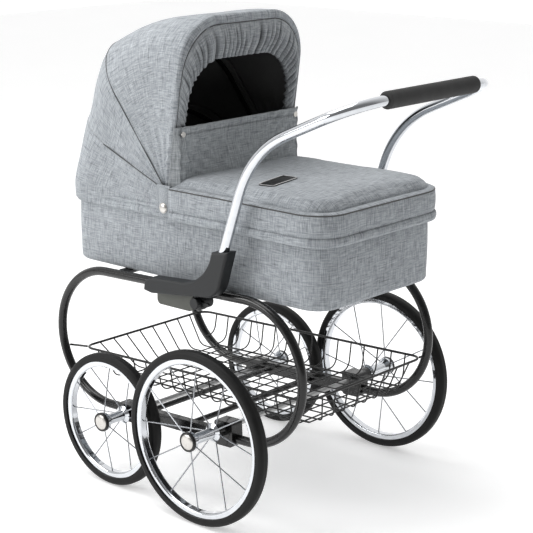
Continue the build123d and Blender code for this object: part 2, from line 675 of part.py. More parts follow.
def make_hood():
    leg = SHELL_HALF - BOW_CLEARANCE
    save("front_bow", bow(FRONT_ANGLE, leg))
    save("middle_bow", bow(MIDDLE_ANGLE, leg - BOW_STEP))
    save("rear_bow", bow(REAR_ANGLE, leg - 2 * BOW_STEP))
    save("hood_visor", visor())
    g = HOOD_SEAM_GAP
    save("canopy_front", hood_panel(FRONT_ANGLE - HOOD_FRONT_LAP, MIDDLE_ANGLE - g))
    save("canopy_middle", hood_panel(MIDDLE_ANGLE + g, REAR_ANGLE - g))
    save("canopy_rear", hood_panel(REAR_ANGLE + g, 90.0 - g))


# ---------------------------------------------------------------- apron and flap
def make_apron():
    y0, y1 = APRON_Y
    z0, z1 = APRON_Z
    corner = SHELL_CORNER_R + APRON_HALF - SHELL_HALF
    lid = Pos(0, 0, z0) * extrude(plan_face(APRON_HALF, y0 - 2 * corner, y1, corner), z1 - z0)
    lid = fillet(lid.faces().sort_by(Axis.Z)[-1].edges(), APRON_EDGE_R)
    w = APRON_WALL
    hollow = plan_face(APRON_HALF - w, y0 - 2 * corner + w, y1 - w, corner - w)
    lid -= Pos(0, 0, z0 - PAST) * extrude(hollow, z1 - z0 + PAST - APRON_TOP_T)
    lid = split(lid, bisect_by=Plane(origin=(0, y0, 0), z_dir=(0, 1, 0)), keep=Keep.TOP)
    save("apron", lid)
    width, length, thick = BADGE_SIZE
    badge = Pos(*BADGE_PLACE, z1 + RUNNING_GAP + thick / 2) * Box(width, length, thick)
    save("badge_patch", fillet(badge.edges().filter_by(Axis.Z), BADGE_CORNER_R))


def make_flap():
    z0, z1 = FLAP_Z
    flap = Pos(0, FLAP_Y - FLAP_T / 2, (z0 + z1) / 2) * Box(2 * FLAP_HALF, FLAP_T, z1 - z0)
    save("wind_flap", fillet(flap.edges().filter_by(Axis.Y).sort_by(Axis.Z)[-2:], FLAP_CORNER_R))
    start = Vector(FLAP_STUD_X, FLAP_Y + RUNNING_GAP, FLAP_STUD_Z)
    stud = rod(start, start + Vector(0, FLAP_STUD_T, 0), FLAP_STUD_R)
    save("flap_studs", stud, right(stud))


os.makedirs("parts", exist_ok=True)
make_wheels()
make_side_frames()
make_running_gear()
make_cross_members()
make_brackets()
make_basket()
make_handle()
make_bassinet()
make_hood()
make_apron()
make_flap()
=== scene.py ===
import math

import bmesh
import bpy
from mathutils import Matrix, Vector, noise
from mathutils.bvhtree import BVHTree


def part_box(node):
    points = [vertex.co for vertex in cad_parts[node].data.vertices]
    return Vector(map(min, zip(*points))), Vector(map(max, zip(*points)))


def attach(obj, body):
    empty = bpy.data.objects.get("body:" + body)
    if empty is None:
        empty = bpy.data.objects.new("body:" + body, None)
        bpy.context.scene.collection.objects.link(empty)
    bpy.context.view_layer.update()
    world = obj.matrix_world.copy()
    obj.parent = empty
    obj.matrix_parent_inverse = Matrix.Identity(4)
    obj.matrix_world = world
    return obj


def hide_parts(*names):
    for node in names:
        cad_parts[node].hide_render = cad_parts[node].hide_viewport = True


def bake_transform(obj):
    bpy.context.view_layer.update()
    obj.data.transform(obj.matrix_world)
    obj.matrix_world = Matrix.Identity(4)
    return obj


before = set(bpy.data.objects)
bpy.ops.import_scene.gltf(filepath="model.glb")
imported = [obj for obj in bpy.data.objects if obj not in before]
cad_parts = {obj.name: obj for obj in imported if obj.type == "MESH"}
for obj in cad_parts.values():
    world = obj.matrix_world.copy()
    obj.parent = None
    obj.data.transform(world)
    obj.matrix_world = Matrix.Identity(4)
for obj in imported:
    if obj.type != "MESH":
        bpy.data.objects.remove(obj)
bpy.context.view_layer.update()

# Carriage-built pram: cloth, padding, fittings and finishes round the CAD frame. Metres.
# +Z is up, +Y points to the pusher and +X is the pram's left side.

MM = 0.001


# ---- sizes, from the frame
def corners(node):
    lo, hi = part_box(node)
    return Vector(lo), Vector(hi)


def middle(node):
    lo, hi = corners(node)
    return (lo + hi) / 2


SHELL_LO, SHELL_HI = corners("bassinet_shell")
SHELL_CORNER = 45 * MM
HOOD_PIVOT = Vector((0, middle("hood_pivot_studs").y, middle("hood_pivot_studs").z))
APRON_LO, APRON_HI = corners("apron")
APRON_CORNER = 56 * MM
SEAM_Z = APRON_HI.z - 11 * MM  # the welted seam round the apron's top
SKIRT_FOOT_Z = APRON_LO.z - 2 * MM
SKIRT_HEAD_Y = HOOD_PIVOT.y + 15 * MM  # the skirt stops at the stud tab
FLAP_LO, FLAP_HI = corners("wind_flap")

# hood arches: angle from upright towards the head end, height over the pivot, corner radius
HOOD_HALF = 157 * MM
FRONT, MIDDLE, REAR, RIM = -6.3, 37.0, 63.6, 90.0
ARCHES = ((FRONT, 321, 88), (MIDDLE, 327, 105), (REAR, 286, 100), (RIM, 255, 52))
# where the legs of the arches gather by the stud, behind and above the pivot, and how far
# the seams lean forward of their bows at the top of the legs
GATHER = ((FRONT, -3, 33), (MIDDLE, -8, 36), (REAR, -12, 32), (RIM, -14, 0))
LEAN = ((FRONT, 0), (MIDDLE, 2.8), (REAR, 3.7), (RIM, 0))
LEG_CUTS, CORNER_CUTS, CROWN_CUTS = 22, 18, 14
VISOR_AHEAD = 6 * MM
# the front edge's turn: inset at the legs and at the crown, and how far ahead, in mm
FRONT_TURN = (
    (6.5, 15, 6.4), (5.2, 11, 7.2), (3.8, 7, 7.0), (2.2, 3.2, 5.4), (0.9, 1.0, 3.6), (0.2, 0.2, 1.8),
)
TURN_LOW, TURN_HIGH = 190 * MM, 290 * MM  # over the pivot, where the one inset gives way to the other
# the hood's lower edge over the rim's hem: down and back, in mm
HOOD_FOOT = ((4, 0.0), (9, 0.4), (14, 1.2))
BLEND_REACH = 250 * MM  # how far from the pivot a panel's ends are taken
# creases: swollen foot of the rear panel, low folds of the front edge, and the fan by the pivot
REAR_SWELL, LOW_FOLD, LOW_PITCH, FAN_FOLD = 6 * MM, 2.6 * MM, 21 * MM, 1.3 * MM
SIDE_RUN, SIDE_SAG = 30 * MM, 0.6  # how far in the crown's sag sets in, and the sides' share of it
CLOTH_T, VISOR_T, SKIRT_T, FLAP_T = 1.6 * MM, 0.9 * MM, 1.2 * MM, 1.8 * MM
SEAM_R, SEAM_INSET, PIPING_R, WELT_R = 0.7 * MM, -0.2 * MM, 0.9 * MM, 1.3 * MM

# the visor's outer edge and the piping on it: inset at the legs and at the crown, and how far ahead
VISOR_EDGE = (6.2 * MM, 14.5 * MM, VISOR_AHEAD - 0.4 * MM)
PIPING_EDGE = (6.4 * MM, 15 * MM, VISOR_AHEAD + 0.5 * MM)
OPENING_HALF, OPENING_TOP, OPENING_CORNER = 130 * MM, 250 * MM, 78 * MM
FOLD_PITCH, FOLD_DEPTH = 15 * MM, 8.5 * MM
FOLDS_LOW, FOLDS_HIGH = FLAP_HI.z - 30 * MM, FLAP_HI.z + 60 * MM  # where the folds set in
FINE_PITCH, FINE_DEPTH = 7 * MM, 0.7 * MM  # the puckers by the elastic
VISOR_SWELL, ELASTIC_R, ELASTIC_TURNS = 7 * MM, 2.6 * MM, 0.8
VISOR_FULLNESS = 1.35  # flat cloth to each length of the gathered edge

# the bassinet's body: boards, the round under its sides, and how it swells and draws in
BOARD_T, UNDER_R, UNDER_LAP = 4 * MM, 9 * MM, 20 * MM
BELLY, DRAWN_IN = 2.2 * MM, 1.5 * MM
SIDE_STEPS = 15
# the rim's rolled hem: out from the boards and up from the roll's foot, in mm
RIM_PROFILE = (
    (0.3, 1.0), (2.6, -0.2), (5.0, 1.0), (6.3, 3.8), (6.5, 7.0), (5.6, 10.2), (3.9, 12.0), (2.7, 13.0),
    (3.6, 14.2), (4.2, 16.4), (3.6, 18.8), (2.0, 20.2), (0.3, 20.0),
)
HEM_TUCK, TUCK_RUN = 2.6 * MM, 8 * MM  # the hem is drawn in under the skirt
TAB_R, TAB_T, TAB_OUT, TAB_LAP = 15 * MM, 3 * MM, 7.4 * MM, 5 * MM
# the tab's edge and stitched line and the badge's edge and border: inset and rise, in mm
TAB_STEPS = ((0.9, 0.35), (2.0, 0.0), (0.5, -0.5), (0.5, 0.5))
BADGE_STEPS = ((0.4, 0.3), (2.2, 0.0), (0.4, -0.7))
BADGE_T, BADGE_CORNER, BADGE_LIFT = 1.8 * MM, 9 * MM, 0.7 * MM
BORDER_IN, BORDER_OUT = 2.6 * MM, 1.3 * MM
LONG_EDGE = 8 * MM  # longer ones are cut up, so that they can follow the padding
WELL_ABOVE = 0.1
BADGE_TURN = 9.0  # degrees, it was sewn on a little askew

SLAB_EDGE = 0.3  # of its height
PUFF_FRAMES, PUFF_QUALITY = 20, 6
CROWN, LUMPS, DRAG = 5.5 * MM, 1.4 * MM, 1.6 * MM  # the apron's padding: rise, lumps and a slack fold
PUCKER, PUCKER_PITCH = 0.5 * MM, 11 * MM
SKIRT_LIP = ((-13, 2.5), (-6, 1.8), (-1.5, 0.9))  # the skirt's top over the seam: out and up, in mm
SKIRT_HEM, HEM_UP, HEM_OVAL = 13 * MM, 6.2 * MM, (2.9, 6.4 * MM)  # the oval's half width in mm
SKIRT_STEPS, HEM_STEPS = 14, 13
FLAP_HEM, SIDE_HEM = 12.5 * MM, 1.5 * MM
FLAP_BULGE, HEM_RISE = 14 * MM, 0.9 * MM
STUD_IN, TUG_PITCH = 20 * MM, 24 * MM  # the creases that the flap's studs pull
# painted shade on the flap's margins, where they wrap round towards the hood
WRAP_SHADE = 0.22
STUD_R, STUD_H, STUD_SUNK = 9 * MM, 4.4 * MM, 4.2 * MM
# the hub caps' profiles: out and radius, in mm
CAP_RING = (
    (-3, 12.2), (-3, 15.6), (-2, 16.8), (1.4, 17), (3.0, 16.4), (3.6, 15.2), (3.6, 13.8), (2.2, 13),
)
CAP_DOME = ((1.8, 13.4), (2.9, 13.1), (4.0, 11.4), (4.6, 8), (4.9, 4), (5.0, 0.0))
ENDS, SIDES = ("front", "rear"), ("left", "right")

ALONG, ACROSS = 0.9, 0.1  # cosines that are as good as along an axis and across it
ROUND, EVEN, TURNED = 60, 50, 35  # degrees up to which cloth, boards and turned parts shade smoothly
UP = Vector((0, 0, 1))
OUTWARDS = Vector((1, 0, 0))
MIRROR = Matrix.Scale(-1, 4, (1, 0, 0))


def between(table, angle):
    """A row of a table of angles, smoothly between the two rows next to it."""
    for low, high in zip(table, table[1:]):
        if angle <= high[0] or high is table[-1]:
            s = (angle - low[0]) / (high[0] - low[0])
            s = s * s * (3 - 2 * s)
            return [a + (b - a) * s for a, b in zip(low[1:], high[1:])]


def smooth(x, low, high):
    s = min(1.0, max(0.0, (x - low) / (high - low)))
    return s * s * (3 - 2 * s)


def hump(x, centre, width):
    return math.exp(-((x - centre) / width) ** 2)


def drift(x, y, z):
    """Smooth noise from -1 to 1."""
    return noise.noise(Vector((x, y, z)))


# ---- workshop
def put_down():
    if bpy.context.object and bpy.context.object.mode != "OBJECT":
        bpy.ops.object.mode_set(mode="OBJECT")
    bpy.ops.object.select_all(action="DESELECT")


def take_up(obj):
    put_down()
    obj.select_set(True)
    bpy.context.view_layer.objects.active = obj
    return obj


def named(name):
    obj = bpy.context.object
    obj.name = obj.data.name = name
    return obj


def choose(kind, test):
    """In edit mode, selects the edges whose middle and run, or the faces whose middle and normal,
    pass a test."""
    bpy.ops.mesh.select_mode(type={"edges": "EDGE", "faces": "FACE"}[kind])
    bpy.ops.mesh.select_all(action="DESELECT")
    mesh = bmesh.from_edit_mesh(bpy.context.object.data)
    for part in getattr(mesh, kind):
        if kind == "edges":
            start, end = part.verts[0].co, part.verts[1].co
            place, way = (start + end) / 2, end - start
        else:
            place, way = part.calc_center_median(), part.normal
        if test(place, way):
            part.select_set(True)
    mesh.select_flush_mode()
    bmesh.update_edit_mesh(bpy.context.object.data)


def finish_with(obj, kind, **settings):
    """Adds a modifier and applies it."""
    take_up(obj)
    modifier = obj.modifiers.new(kind.title(), kind)
    for key, value in settings.items():
        setattr(modifier, key, value)
    bpy.ops.object.modifier_apply(modifier=modifier.name)
    return obj


def close_up(obj):
    """Merges doubles and turns the faces outwards."""
    take_up(obj)
    bpy.ops.object.mode_set(mode="EDIT")
    bpy.ops.mesh.select_all(action="SELECT")
    bpy.ops.mesh.remove_doubles(threshold=1e-5)
    bpy.ops.mesh.normals_make_consistent(inside=False)
    bpy.ops.object.mode_set(mode="OBJECT")
    return obj


def soften(obj, angle):
    take_up(obj)
    bpy.ops.object.shade_smooth_by_angle(angle=math.radians(angle))
    put_down()
    return obj


def wear(obj, *finishes):
    """Fills an object's slots with one finish, or in turn with several, adding slots."""
    slots = obj.material_slots
    if len(finishes) == 1 and len(slots) > 0:
        for slot in slots:
            slot.material = finishes[0]
        return obj
    for n, finish in enumerate(finishes):
        if n < len(slots):
            slots[n].material = finish
        else:
            obj.data.materials.append(finish)
    return obj


def added(name, data):
    obj = bpy.data.objects.new(name, data)
    bpy.context.scene.collection.objects.link(obj)
    return obj


def cloth(name, rows, closed=False, along=None):
    """A sheet from rows of points, with a UV map in metres along the rows and across them.
    Along is each column's place on the flat cloth, where it isn't the length of a middle row."""
    count = len(rows[0])
    guide = rows[len(rows) // 2]
    if along is None:
        along = [0.0]
        for a, b in zip(guide, guide[1:] + guide[:1]):
            along.append(along[-1] + (b - a).length)
    across = [0.0]
    for low, high in zip(rows, rows[1:]):
        across.append(across[-1] + sum((b - a).length for a, b in zip(low, high)) / count)
    mesh = bmesh.new()
    uv = mesh.loops.layers.uv.new("weave")
    verts = [[mesh.verts.new(p) for p in row] for row in rows]
    for i in range(len(rows) - 1):
        for j in range(count if closed else count - 1):
            k = (j + 1) % count
            ring = [(i, j, j), (i, k, j + 1), (i + 1, k, j + 1), (i + 1, j, j)]
            face = mesh.faces.new([verts[r][c] for r, c, _ in ring])
            for loop, (r, _, c) in zip(face.loops, ring):
                loop[uv].uv = (along[c], across[r])
    data = bpy.data.meshes.new(name)
    mesh.to_mesh(data)
    mesh.free()
    return soften(added(name, data), ROUND)


def shaded(obj, shade_shares):
    """Keeps on each point its share of painted shade, from 0 to 1: how deep it lies in a fold or a
    stitched line, or a set share on the flap's wrapped margins.
    """
    obj.data.attributes.new("fold_depth", "FLOAT", "POINT").data.foreach_set("value", shade_shares)


def lay_weave(obj):
    """A UV map in metres for a padded form: seen from above on top, and round its sides below."""
    layer = obj.data.uv_layers.new(name="weave")
    for face in obj.data.polygons:
        n = face.normal
        for loop in face.loop_indices:
            p = obj.data.vertices[obj.data.loops[loop].vertex_index].co
            if abs(n.z) > 0.6:
                layer.data[loop].uv = (p.y, p.x)
            elif abs(n.x) > abs(n.y):
                layer.data[loop].uv = (p.y, p.z)
            else:
                layer.data[loop].uv = (p.x, p.z)
    return obj


def welt(name, points, radius):
    """A round cord of cloth through points."""
    line = bpy.data.curves.new(name, "CURVE")
    line.dimensions = "3D"
    line.bevel_depth = radius
    line.bevel_resolution = 2
    line.use_fill_caps = True
    spline = line.splines.new("POLY")
    spline.points.add(len(points) - 1)
    for point, place in zip(spline.points, points):
        point.co = (*place, 1)
    take_up(added(name, line))
    bpy.ops.object.convert(target="MESH")
    obj = named(name)
    layer = obj.data.uv_layers.new(name="weave")
    for loop in obj.data.loops:
        p = obj.data.vertices[loop.vertex_index].co
        layer.data[loop.index].uv = (p.x + p.y, p.z)
    return soften(obj, ROUND)


def spun(name, profile, place):
    """A turned part: a profile of (out, radius), spun at a place round an axis from side to side."""
    put_down()
    bpy.ops.mesh.primitive_plane_add(size=1)
    obj = named(name)
    bpy.ops.object.mode_set(mode="EDIT")
    bpy.ops.mesh.merge(type="CENTER")
    edit = bmesh.from_edit_mesh(obj.data)
    edit.verts.ensure_lookup_table()
    edit.verts[0].co = (profile[0][0], 0, profile[0][1])
    bmesh.update_edit_mesh(obj.data)
    bpy.ops.mesh.select_all(action="SELECT")
    for (a, r), (b, s) in zip(profile, profile[1:]):
        bpy.ops.mesh.extrude_vertices_move(TRANSFORM_OT_translate={"value": (b - a, 0, s - r)})
    bpy.ops.mesh.select_all(action="SELECT")
    bpy.ops.mesh.spin(steps=40, angle=math.tau, center=(0, 0, 0), axis=OUTWARDS)
    bpy.ops.object.mode_set(mode="OBJECT")
    obj.data.transform(Matrix.Translation(place))
    close_up(obj)
    return soften(obj, TURNED)


def block(name, size, place=(0, 0, 0)):
    """A box of a size round a place, left in edit mode."""
    put_down()
    bpy.ops.mesh.primitive_cube_add(size=1, location=place)
    obj = named(name)
    bpy.ops.transform.resize(value=size)
    bpy.ops.object.transform_apply(location=True, rotation=True, scale=True)
    bpy.ops.object.mode_set(mode="EDIT")
    return obj


def terrace(steps, way):
    """In edit mode, insets the chosen face step by step and raises it a little at each."""
    for inset, rise in steps:
        bpy.ops.mesh.inset(thickness=inset * MM, depth=0)
        bpy.ops.transform.translate(value=way * (rise * MM))


def copied(obj, name, matrix):
    """A copy with its own mesh, moved; a mirrored one has its faces turned out again."""
    twin = obj.copy()
    twin.data = obj.data.copy()
    twin.name = twin.data.name = name
    bpy.context.scene.collection.objects.link(twin)
    twin.data.transform(matrix)
    if matrix.determinant() < 0:
        close_up(twin)
    put_down()
    return twin


# ---- finishes
class Value:
    """A shader socket that can stand in a sum."""

    def __init__(self, finish, socket):
        self.finish, self.socket = finish, socket

    def math(self, operation, *terms):
        return self.finish.node("Math", {"operation": operation}, dict(enumerate(terms)))

    def __add__(self, other):
        return self.math("ADD", self, other)

    __radd__ = __add__

    def __sub__(self, other):
        return self.math("SUBTRACT", self, other)

    def __rsub__(self, other):
        return self.math("SUBTRACT", other, self)

    def __mul__(self, other):
        return self.math("MULTIPLY", self, other)

    __rmul__ = __mul__

    def above(self, low, high):
        """0 below low, 1 above high and smooth between."""
        sockets = {"Value": self, "From Min": low, "From Max": high}
        return self.finish.node("MapRange", {"interpolation_type": "SMOOTHSTEP"}, sockets)


class Finish:
    """A material: fixed values on its shader, and nodes for what varies over the surface."""

    def __init__(self, name, **fixed):
        self.material = bpy.data.materials.new(name)
        self.material.use_nodes = True
        self.tree = self.material.node_tree
        self.shader = next(n for n in self.tree.nodes if n.type == "BSDF_PRINCIPLED")
        for key, value in fixed.items():
            socket = self.shader.inputs[key.replace("_", " ")]
            socket.default_value = (*value, 1) if isinstance(value, tuple) else value

    def node(self, kind, settings=None, sockets=None, out=0):
        made = self.tree.nodes.new("ShaderNode" + kind)
        for key, value in (settings or {}).items():
            if key == "stops":
                ramp = made.color_ramp
                while len(ramp.elements) < len(value):
                    ramp.elements.new(0.5)
                for element, (place, colour) in zip(ramp.elements, value):
                    element.position, element.color = place, (*colour, 1)
            else:
                setattr(made, key, value)
        for key, value in (sockets or {}).items():
            if isinstance(value, Value):
                self.tree.links.new(value.socket, made.inputs[key])
            else:
                made.inputs[key].default_value = value
        return Value(self, made.outputs[out])

    def set(self, key, value):
        self.tree.links.new(value.socket, self.shader.inputs[key])

    def place(self, source, scale, centre=(0, 0, 0)):
        """Coordinates on the piece, moved and stretched."""
        here = self.node("TexCoord", out=source)
        away = tuple(-c for c in centre)
        shifted = self.node("Mapping", {}, {"Vector": here, "Location": away})
        return self.node("Mapping", {}, {"Vector": shifted, "Scale": scale})

    def yarn(self, pitch, detail, rough=0.5, centre=(0, 0, 0)):
        """Noise along the weave, stretched differently along the yarns and across them."""
        sockets = {"Vector": self.place("UV", (*pitch, 1), centre), "Scale": 1.0, "Detail": detail,
                   "Roughness": rough}
        return self.node("TexNoise", {}, sockets)

    def noise(self, scale, detail):
        """Noise through the piece, with about so many lumps to a metre."""
        sockets = {"Vector": self.place("Object", (scale, scale, scale)), "Scale": 1.0, "Detail": detail}
        return self.node("TexNoise", {}, sockets)

    def ramp(self, value, *stops):
        return self.node("ValToRGB", {"stops": stops}, {"Fac": value})

    def mix(self, factor, first, second):
        sockets = {0: factor, 6: first, 7: second}
        return self.node("Mix", {"data_type": "RGBA"}, sockets, out=2)

    def relief(self, height, distance, strength):
        """Raises the surface by a height of 0 to 1 times a distance in metres."""
        sockets = {"Height": height, "Distance": distance, "Strength": strength}
        self.set("Normal", self.node("Bump", {}, sockets))


def grey(level, blue=0.0):
    return (level * (1 - blue), level, level * (1 + blue))


# place on the ramp of tones, grey, and how far it leans to blue
LINEN_DYES = ((0.10, 0.13, 0.07), (0.36, 0.27, 0.07), (0.56, 0.385, 0.06), (0.84, 0.58, 0.05))
# near black: the painted shade in the linen's folds, stitched grooves and wrapped margins
FOLD_SHADE_COLOUR = (0.012, 0.012, 0.014, 1)


def linen(name, level=1.0, tint=(1, 1, 1), shade_in_folds=False):
    """Melange linen: uneven yarns both ways, pale and dark, over a fine plain weave."""
    f = Finish(name, Roughness=0.92, Sheen_Weight=0.12, Sheen_Roughness=0.5, Specular_IOR_Level=0.25)
    warp = f.yarn((46, 560), detail=3.0, rough=0.6)
    weft = f.yarn((560, 46), detail=3.0, rough=0.6, centre=(3, 7, 0))
    slub_warp = f.yarn((26, 300), detail=1.0, centre=(11, 2, 0))
    slub_weft = f.yarn((300, 26), detail=1.0, centre=(5, 17, 0))
    grain = f.yarn((1500, 1500), detail=1.0)
    cloud = f.noise(9, detail=2.0)
    tone = 0.5 + 0.8 * (warp - 0.5) + 0.9 * (weft - 0.5) + 0.5 * (grain - 0.5) + 0.16 * (cloud - 0.5)
    dark = slub_warp.above(0.60, 0.70) + slub_weft.above(0.60, 0.70)
    pale = (1 - slub_warp).above(0.62, 0.72) + (1 - slub_weft).above(0.62, 0.72)
    tone = tone - 0.12 * dark + 0.09 * pale
    dyed = [(at, tuple(level * c * t for c, t in zip(grey(g, blue), tint))) for at, g, blue in LINEN_DYES]
    colour = f.ramp(tone, *dyed)
    if shade_in_folds:  # painted shade: the colour darkens towards near black by each point's share of shade in folds, grooves and margins
        depth = f.node("Attribute", {"attribute_name": "fold_depth"}, out="Fac")
        colour = f.mix(0.9 * depth, colour, FOLD_SHADE_COLOUR)
    f.set("Base Color", colour)
    f.set("Roughness", 0.84 + 0.12 * warp)
    f.relief(0.5 * warp + 0.5 * weft + 0.3 * grain, 0.5 * MM, 0.9)
    return f.material


def plain_cloth(name, low, high, pitch=900):
    """A fine even cloth in one colour."""
    f = Finish(name, Roughness=0.9, Sheen_Weight=0.1, Specular_IOR_Level=0.25)
    weave = f.noise(pitch, detail=1.0)
    fold = f.noise(30, detail=3.0)
    f.set("Base Color", f.ramp(0.6 * weave + 0.4 * fold, (0.3, low), (0.7, high)))
    f.set("Roughness", 0.9 - 0.1 * weave)
    f.relief(weave, 0.3 * MM, 0.6)
    return f.material


def lacquer(name, colour, rough, coat):
    """Gloss lacquer on tube or wire, a little uneven, with dull dust in places."""
    f = Finish(name, Coat_Weight=coat, Coat_Roughness=0.06, Specular_IOR_Level=0.3)
    flow = f.noise(60, detail=3.0)
    orange = f.noise(700, detail=1.0)
    f.set("Base Color", f.ramp(flow, (0.3, colour), (0.75, tuple(1.6 * c for c in colour))))
    f.set("Roughness", rough + 0.14 * flow)
    f.relief(orange, 0.05 * MM, 0.5)
    return f.material


def metal(name, colour, rough):
    """Plated or bare metal, with faint wipe marks."""
    f = Finish(name, Metallic=1.0)
    wipe = f.noise(90, detail=4.0)
    f.set("Base Color", f.ramp(wipe, (0.25, tuple(0.88 * c for c in colour)), (0.8, colour)))
    f.set("Roughness", rough + 0.9 * rough * wipe)
    f.relief(wipe, 0.02 * MM, 0.4)
    return f.material


def moulded(name, colour, rough):
    """Moulded plastic with a fine eroded texture."""
    f = Finish(name, Specular_IOR_Level=0.45)
    skin = f.noise(1600, detail=1.0)
    fade = f.noise(28, detail=3.0)
    f.set("Base Color", f.ramp(fade, (0.3, colour), (0.75, tuple(1.35 * c for c in colour))))
    f.set("Roughness", rough + 0.12 * fade)
    f.relief(skin, 0.08 * MM, 0.7)
    return f.material


TYRE_RINGS = 1800  # radians to a metre of radius


def rubber(name, centre):
    """Tyre rubber with fine rings round the axle and dust here and there."""
    f = Finish(name, Specular_IOR_Level=0.25)
    here = f.place("Object", (0, 1, 1), (0, centre.y, centre.z))
    radius = f.node("VectorMath", {"operation": "LENGTH"}, {0: here}, out="Value")
    rings = radius.math("SINE", radius * TYRE_RINGS)
    dust = f.noise(70, detail=4.0)
    f.set("Base Color", f.ramp(dust, (0.35, grey(0.004)), (0.8, grey(0.009))))
    f.set("Roughness", 0.42 + 0.3 * dust)
    f.relief(0.5 + 0.5 * rings, 0.12 * MM, 0.5)
    return f.material


def foam(name):
    """Closed-cell foam sleeve: fine pores and a dull sheen."""
    f = Finish(name, Specular_IOR_Level=0.3)
    pores = f.node("TexVoronoi", {}, {"Vector": f.place("Object", (900, 900, 900))})
    worn = f.noise(24, detail=3.0)
    f.set("Base Color", f.ramp(worn, (0.3, grey(0.028)), (0.8, grey(0.055))))
    f.set("Roughness", 0.62 + 0.2 * worn)
    f.relief(pores, 0.25 * MM, 0.5)
    return f.material


LINEN = linen("melange linen")
LINEN_BAND = linen("linen of the flap", 1.05, (1.0, 0.995, 0.975), shade_in_folds=True)
LINEN_GATHERED = linen("gathered linen", 1.0, (1.0, 0.99, 0.975), shade_in_folds=True)
LINING = plain_cloth("black lining", grey(0.09), grey(0.12))
PIPING = plain_cloth("dark piping", grey(0.06), grey(0.1))
COTTON = plain_cloth("white cotton", grey(0.62), grey(0.75), 600)
SLEEVE = plain_cloth("bow sleeve", grey(0.003), grey(0.006))
TUBE_BLACK = lacquer("black lacquer", grey(0.004), 0.2, 0.35)
WIRE_BLACK = lacquer("black wire lacquer", grey(0.004), 0.3, 0.2)
CHROME = metal("bright chrome", (0.70, 0.72, 0.75), 0.05)
SPOKE_STEEL = metal("bright spoke wire", (0.36, 0.37, 0.39), 0.16)
STUD_METAL = metal("satin nickel", (0.62, 0.60, 0.57), 0.2)
RING_BLACK = moulded("black cap ring", grey(0.005), 0.3)
STEEL = metal("zinc plated steel", (0.5, 0.5, 0.5), 0.3)
CASTING = moulded("black moulding", grey(0.006, 0.2), 0.42)
GREY_PLATE = moulded("grey moulding", (0.075, 0.078, 0.068), 0.5)
BOARD = moulded("fibre board", (0.2, 0.12, 0.06), 0.8)
BADGE = moulded("black rubber badge", grey(0.004), 0.3)
BADGE_BORDER = moulded("pale badge border", grey(0.45), 0.5)
FOAM = foam("foam grip")
TYRE_FRONT = rubber("front tyre rubber", middle("front_tyre_left"))
TYRE_REAR = rubber("rear tyre rubber", middle("rear_tyre_left"))


# ---- lines to sew along
def plan_line(half, head, foot, corner, step=9 * MM, closed=False):
    """Points and outward directions round a rounded rectangle seen from above, from the left
    side's head end round the foot end to the right side, and closed, on round the head end."""
    def straight(a, b, out):
        a, b = Vector((*a, 0)), Vector((*b, 0))
        count = max(2, round((b - a).length / step))
        return [(a.lerp(b, i / count), out) for i in range(count)]

    def bend(centre, start):
        count = max(6, round(corner * math.pi / 2 / step))
        turns = [start + math.pi / 2 * i / count for i in range(count)]
        spokes = [Vector((math.cos(t), math.sin(t), 0)) for t in turns]
        return [(Vector((*centre, 0)) + corner * spoke, spoke) for spoke in spokes]

    left, right = OUTWARDS, -OUTWARDS
    back, front = Vector((0, 1, 0)), Vector((0, -1, 0))
    inner = half - corner
    start_y = head + corner if closed else head
    line = straight((half, start_y), (half, foot - corner), left)
    line += bend((inner, foot - corner), 0)
    line += straight((inner, foot), (-inner, foot), back)
    line += bend((-inner, foot - corner), math.pi / 2)
    line += straight((-half, foot - corner), (-half, start_y), right)
    if not closed:
        line.append((Vector((-half, start_y, 0)), right))
        return line
    line += bend((-inner, head + corner), math.pi)
    line += straight((-inner, head), (inner, head), front)
    line += bend((inner, head + corner), 3 * math.pi / 2)
    return line


def risen(line, out, z):
    """The line moved outwards and to a height, either of which may be a function of the point."""
    points = []
    for p, n in line:
        rise = z(p) if callable(z) else z
        points.append(p + n * (out(p, n) if callable(out) else out) + Vector((0, 0, rise)))
    return points


def arch_line(angle, inset=0.0, ahead=0.0, sizes=None):
    """The hood's arch at an angle, from the left gather over the crown to the right."""
    height, corner = sizes or [v * MM for v in between(ARCHES, angle)]
    half = (HOOD_HALF if sizes is None else OPENING_HALF) - inset
    height, corner = height - inset, corner - inset
    lean = between(LEAN, angle)[0]
    back, up = [v * MM for v in between(GATHER, angle)]

    def fan(x, reach, tilt):
        a = math.radians(tilt)
        spot = HOOD_PIVOT + Vector((x, -math.sin(a) * reach, math.cos(a) * reach))
        return spot + Vector((0, math.cos(a), math.sin(a))) * ahead

    foot = HOOD_PIVOT + Vector((half, back, up)) + Vector((0, ahead, 0))
    head = fan(half, height - corner, angle - lean)
    points = [foot.lerp(head, i / LEG_CUTS) for i in range(LEG_CUTS)]
    for i in range(CORNER_CUTS):
        t = math.pi / 2 * i / CORNER_CUTS
        ease = 1 - smooth(i, 0, CORNER_CUTS)
        points.append(fan(half - corner + corner * math.cos(t), height - corner + corner * math.sin(t),
                          angle - lean * ease))
    points += [fan((half - corner) * (1 - i / CROWN_CUTS), height, angle) for i in range(CROWN_CUTS)]
    mirrored = [MIRROR @ p for p in points]
    return points + [fan(0, height, angle)] + mirrored[::-1]


def front_line(leg_inset, crown_inset, ahead):
    """The front arch drawn in by one width at its legs and another at its crown."""
    low, high = arch_line(FRONT, leg_inset, ahead), arch_line(FRONT, crown_inset, ahead)
    return [a.lerp(b, smooth(a.z, HOOD_PIVOT.z + TURN_LOW, HOOD_PIVOT.z + TURN_HIGH))
            for a, b in zip(low, high)]


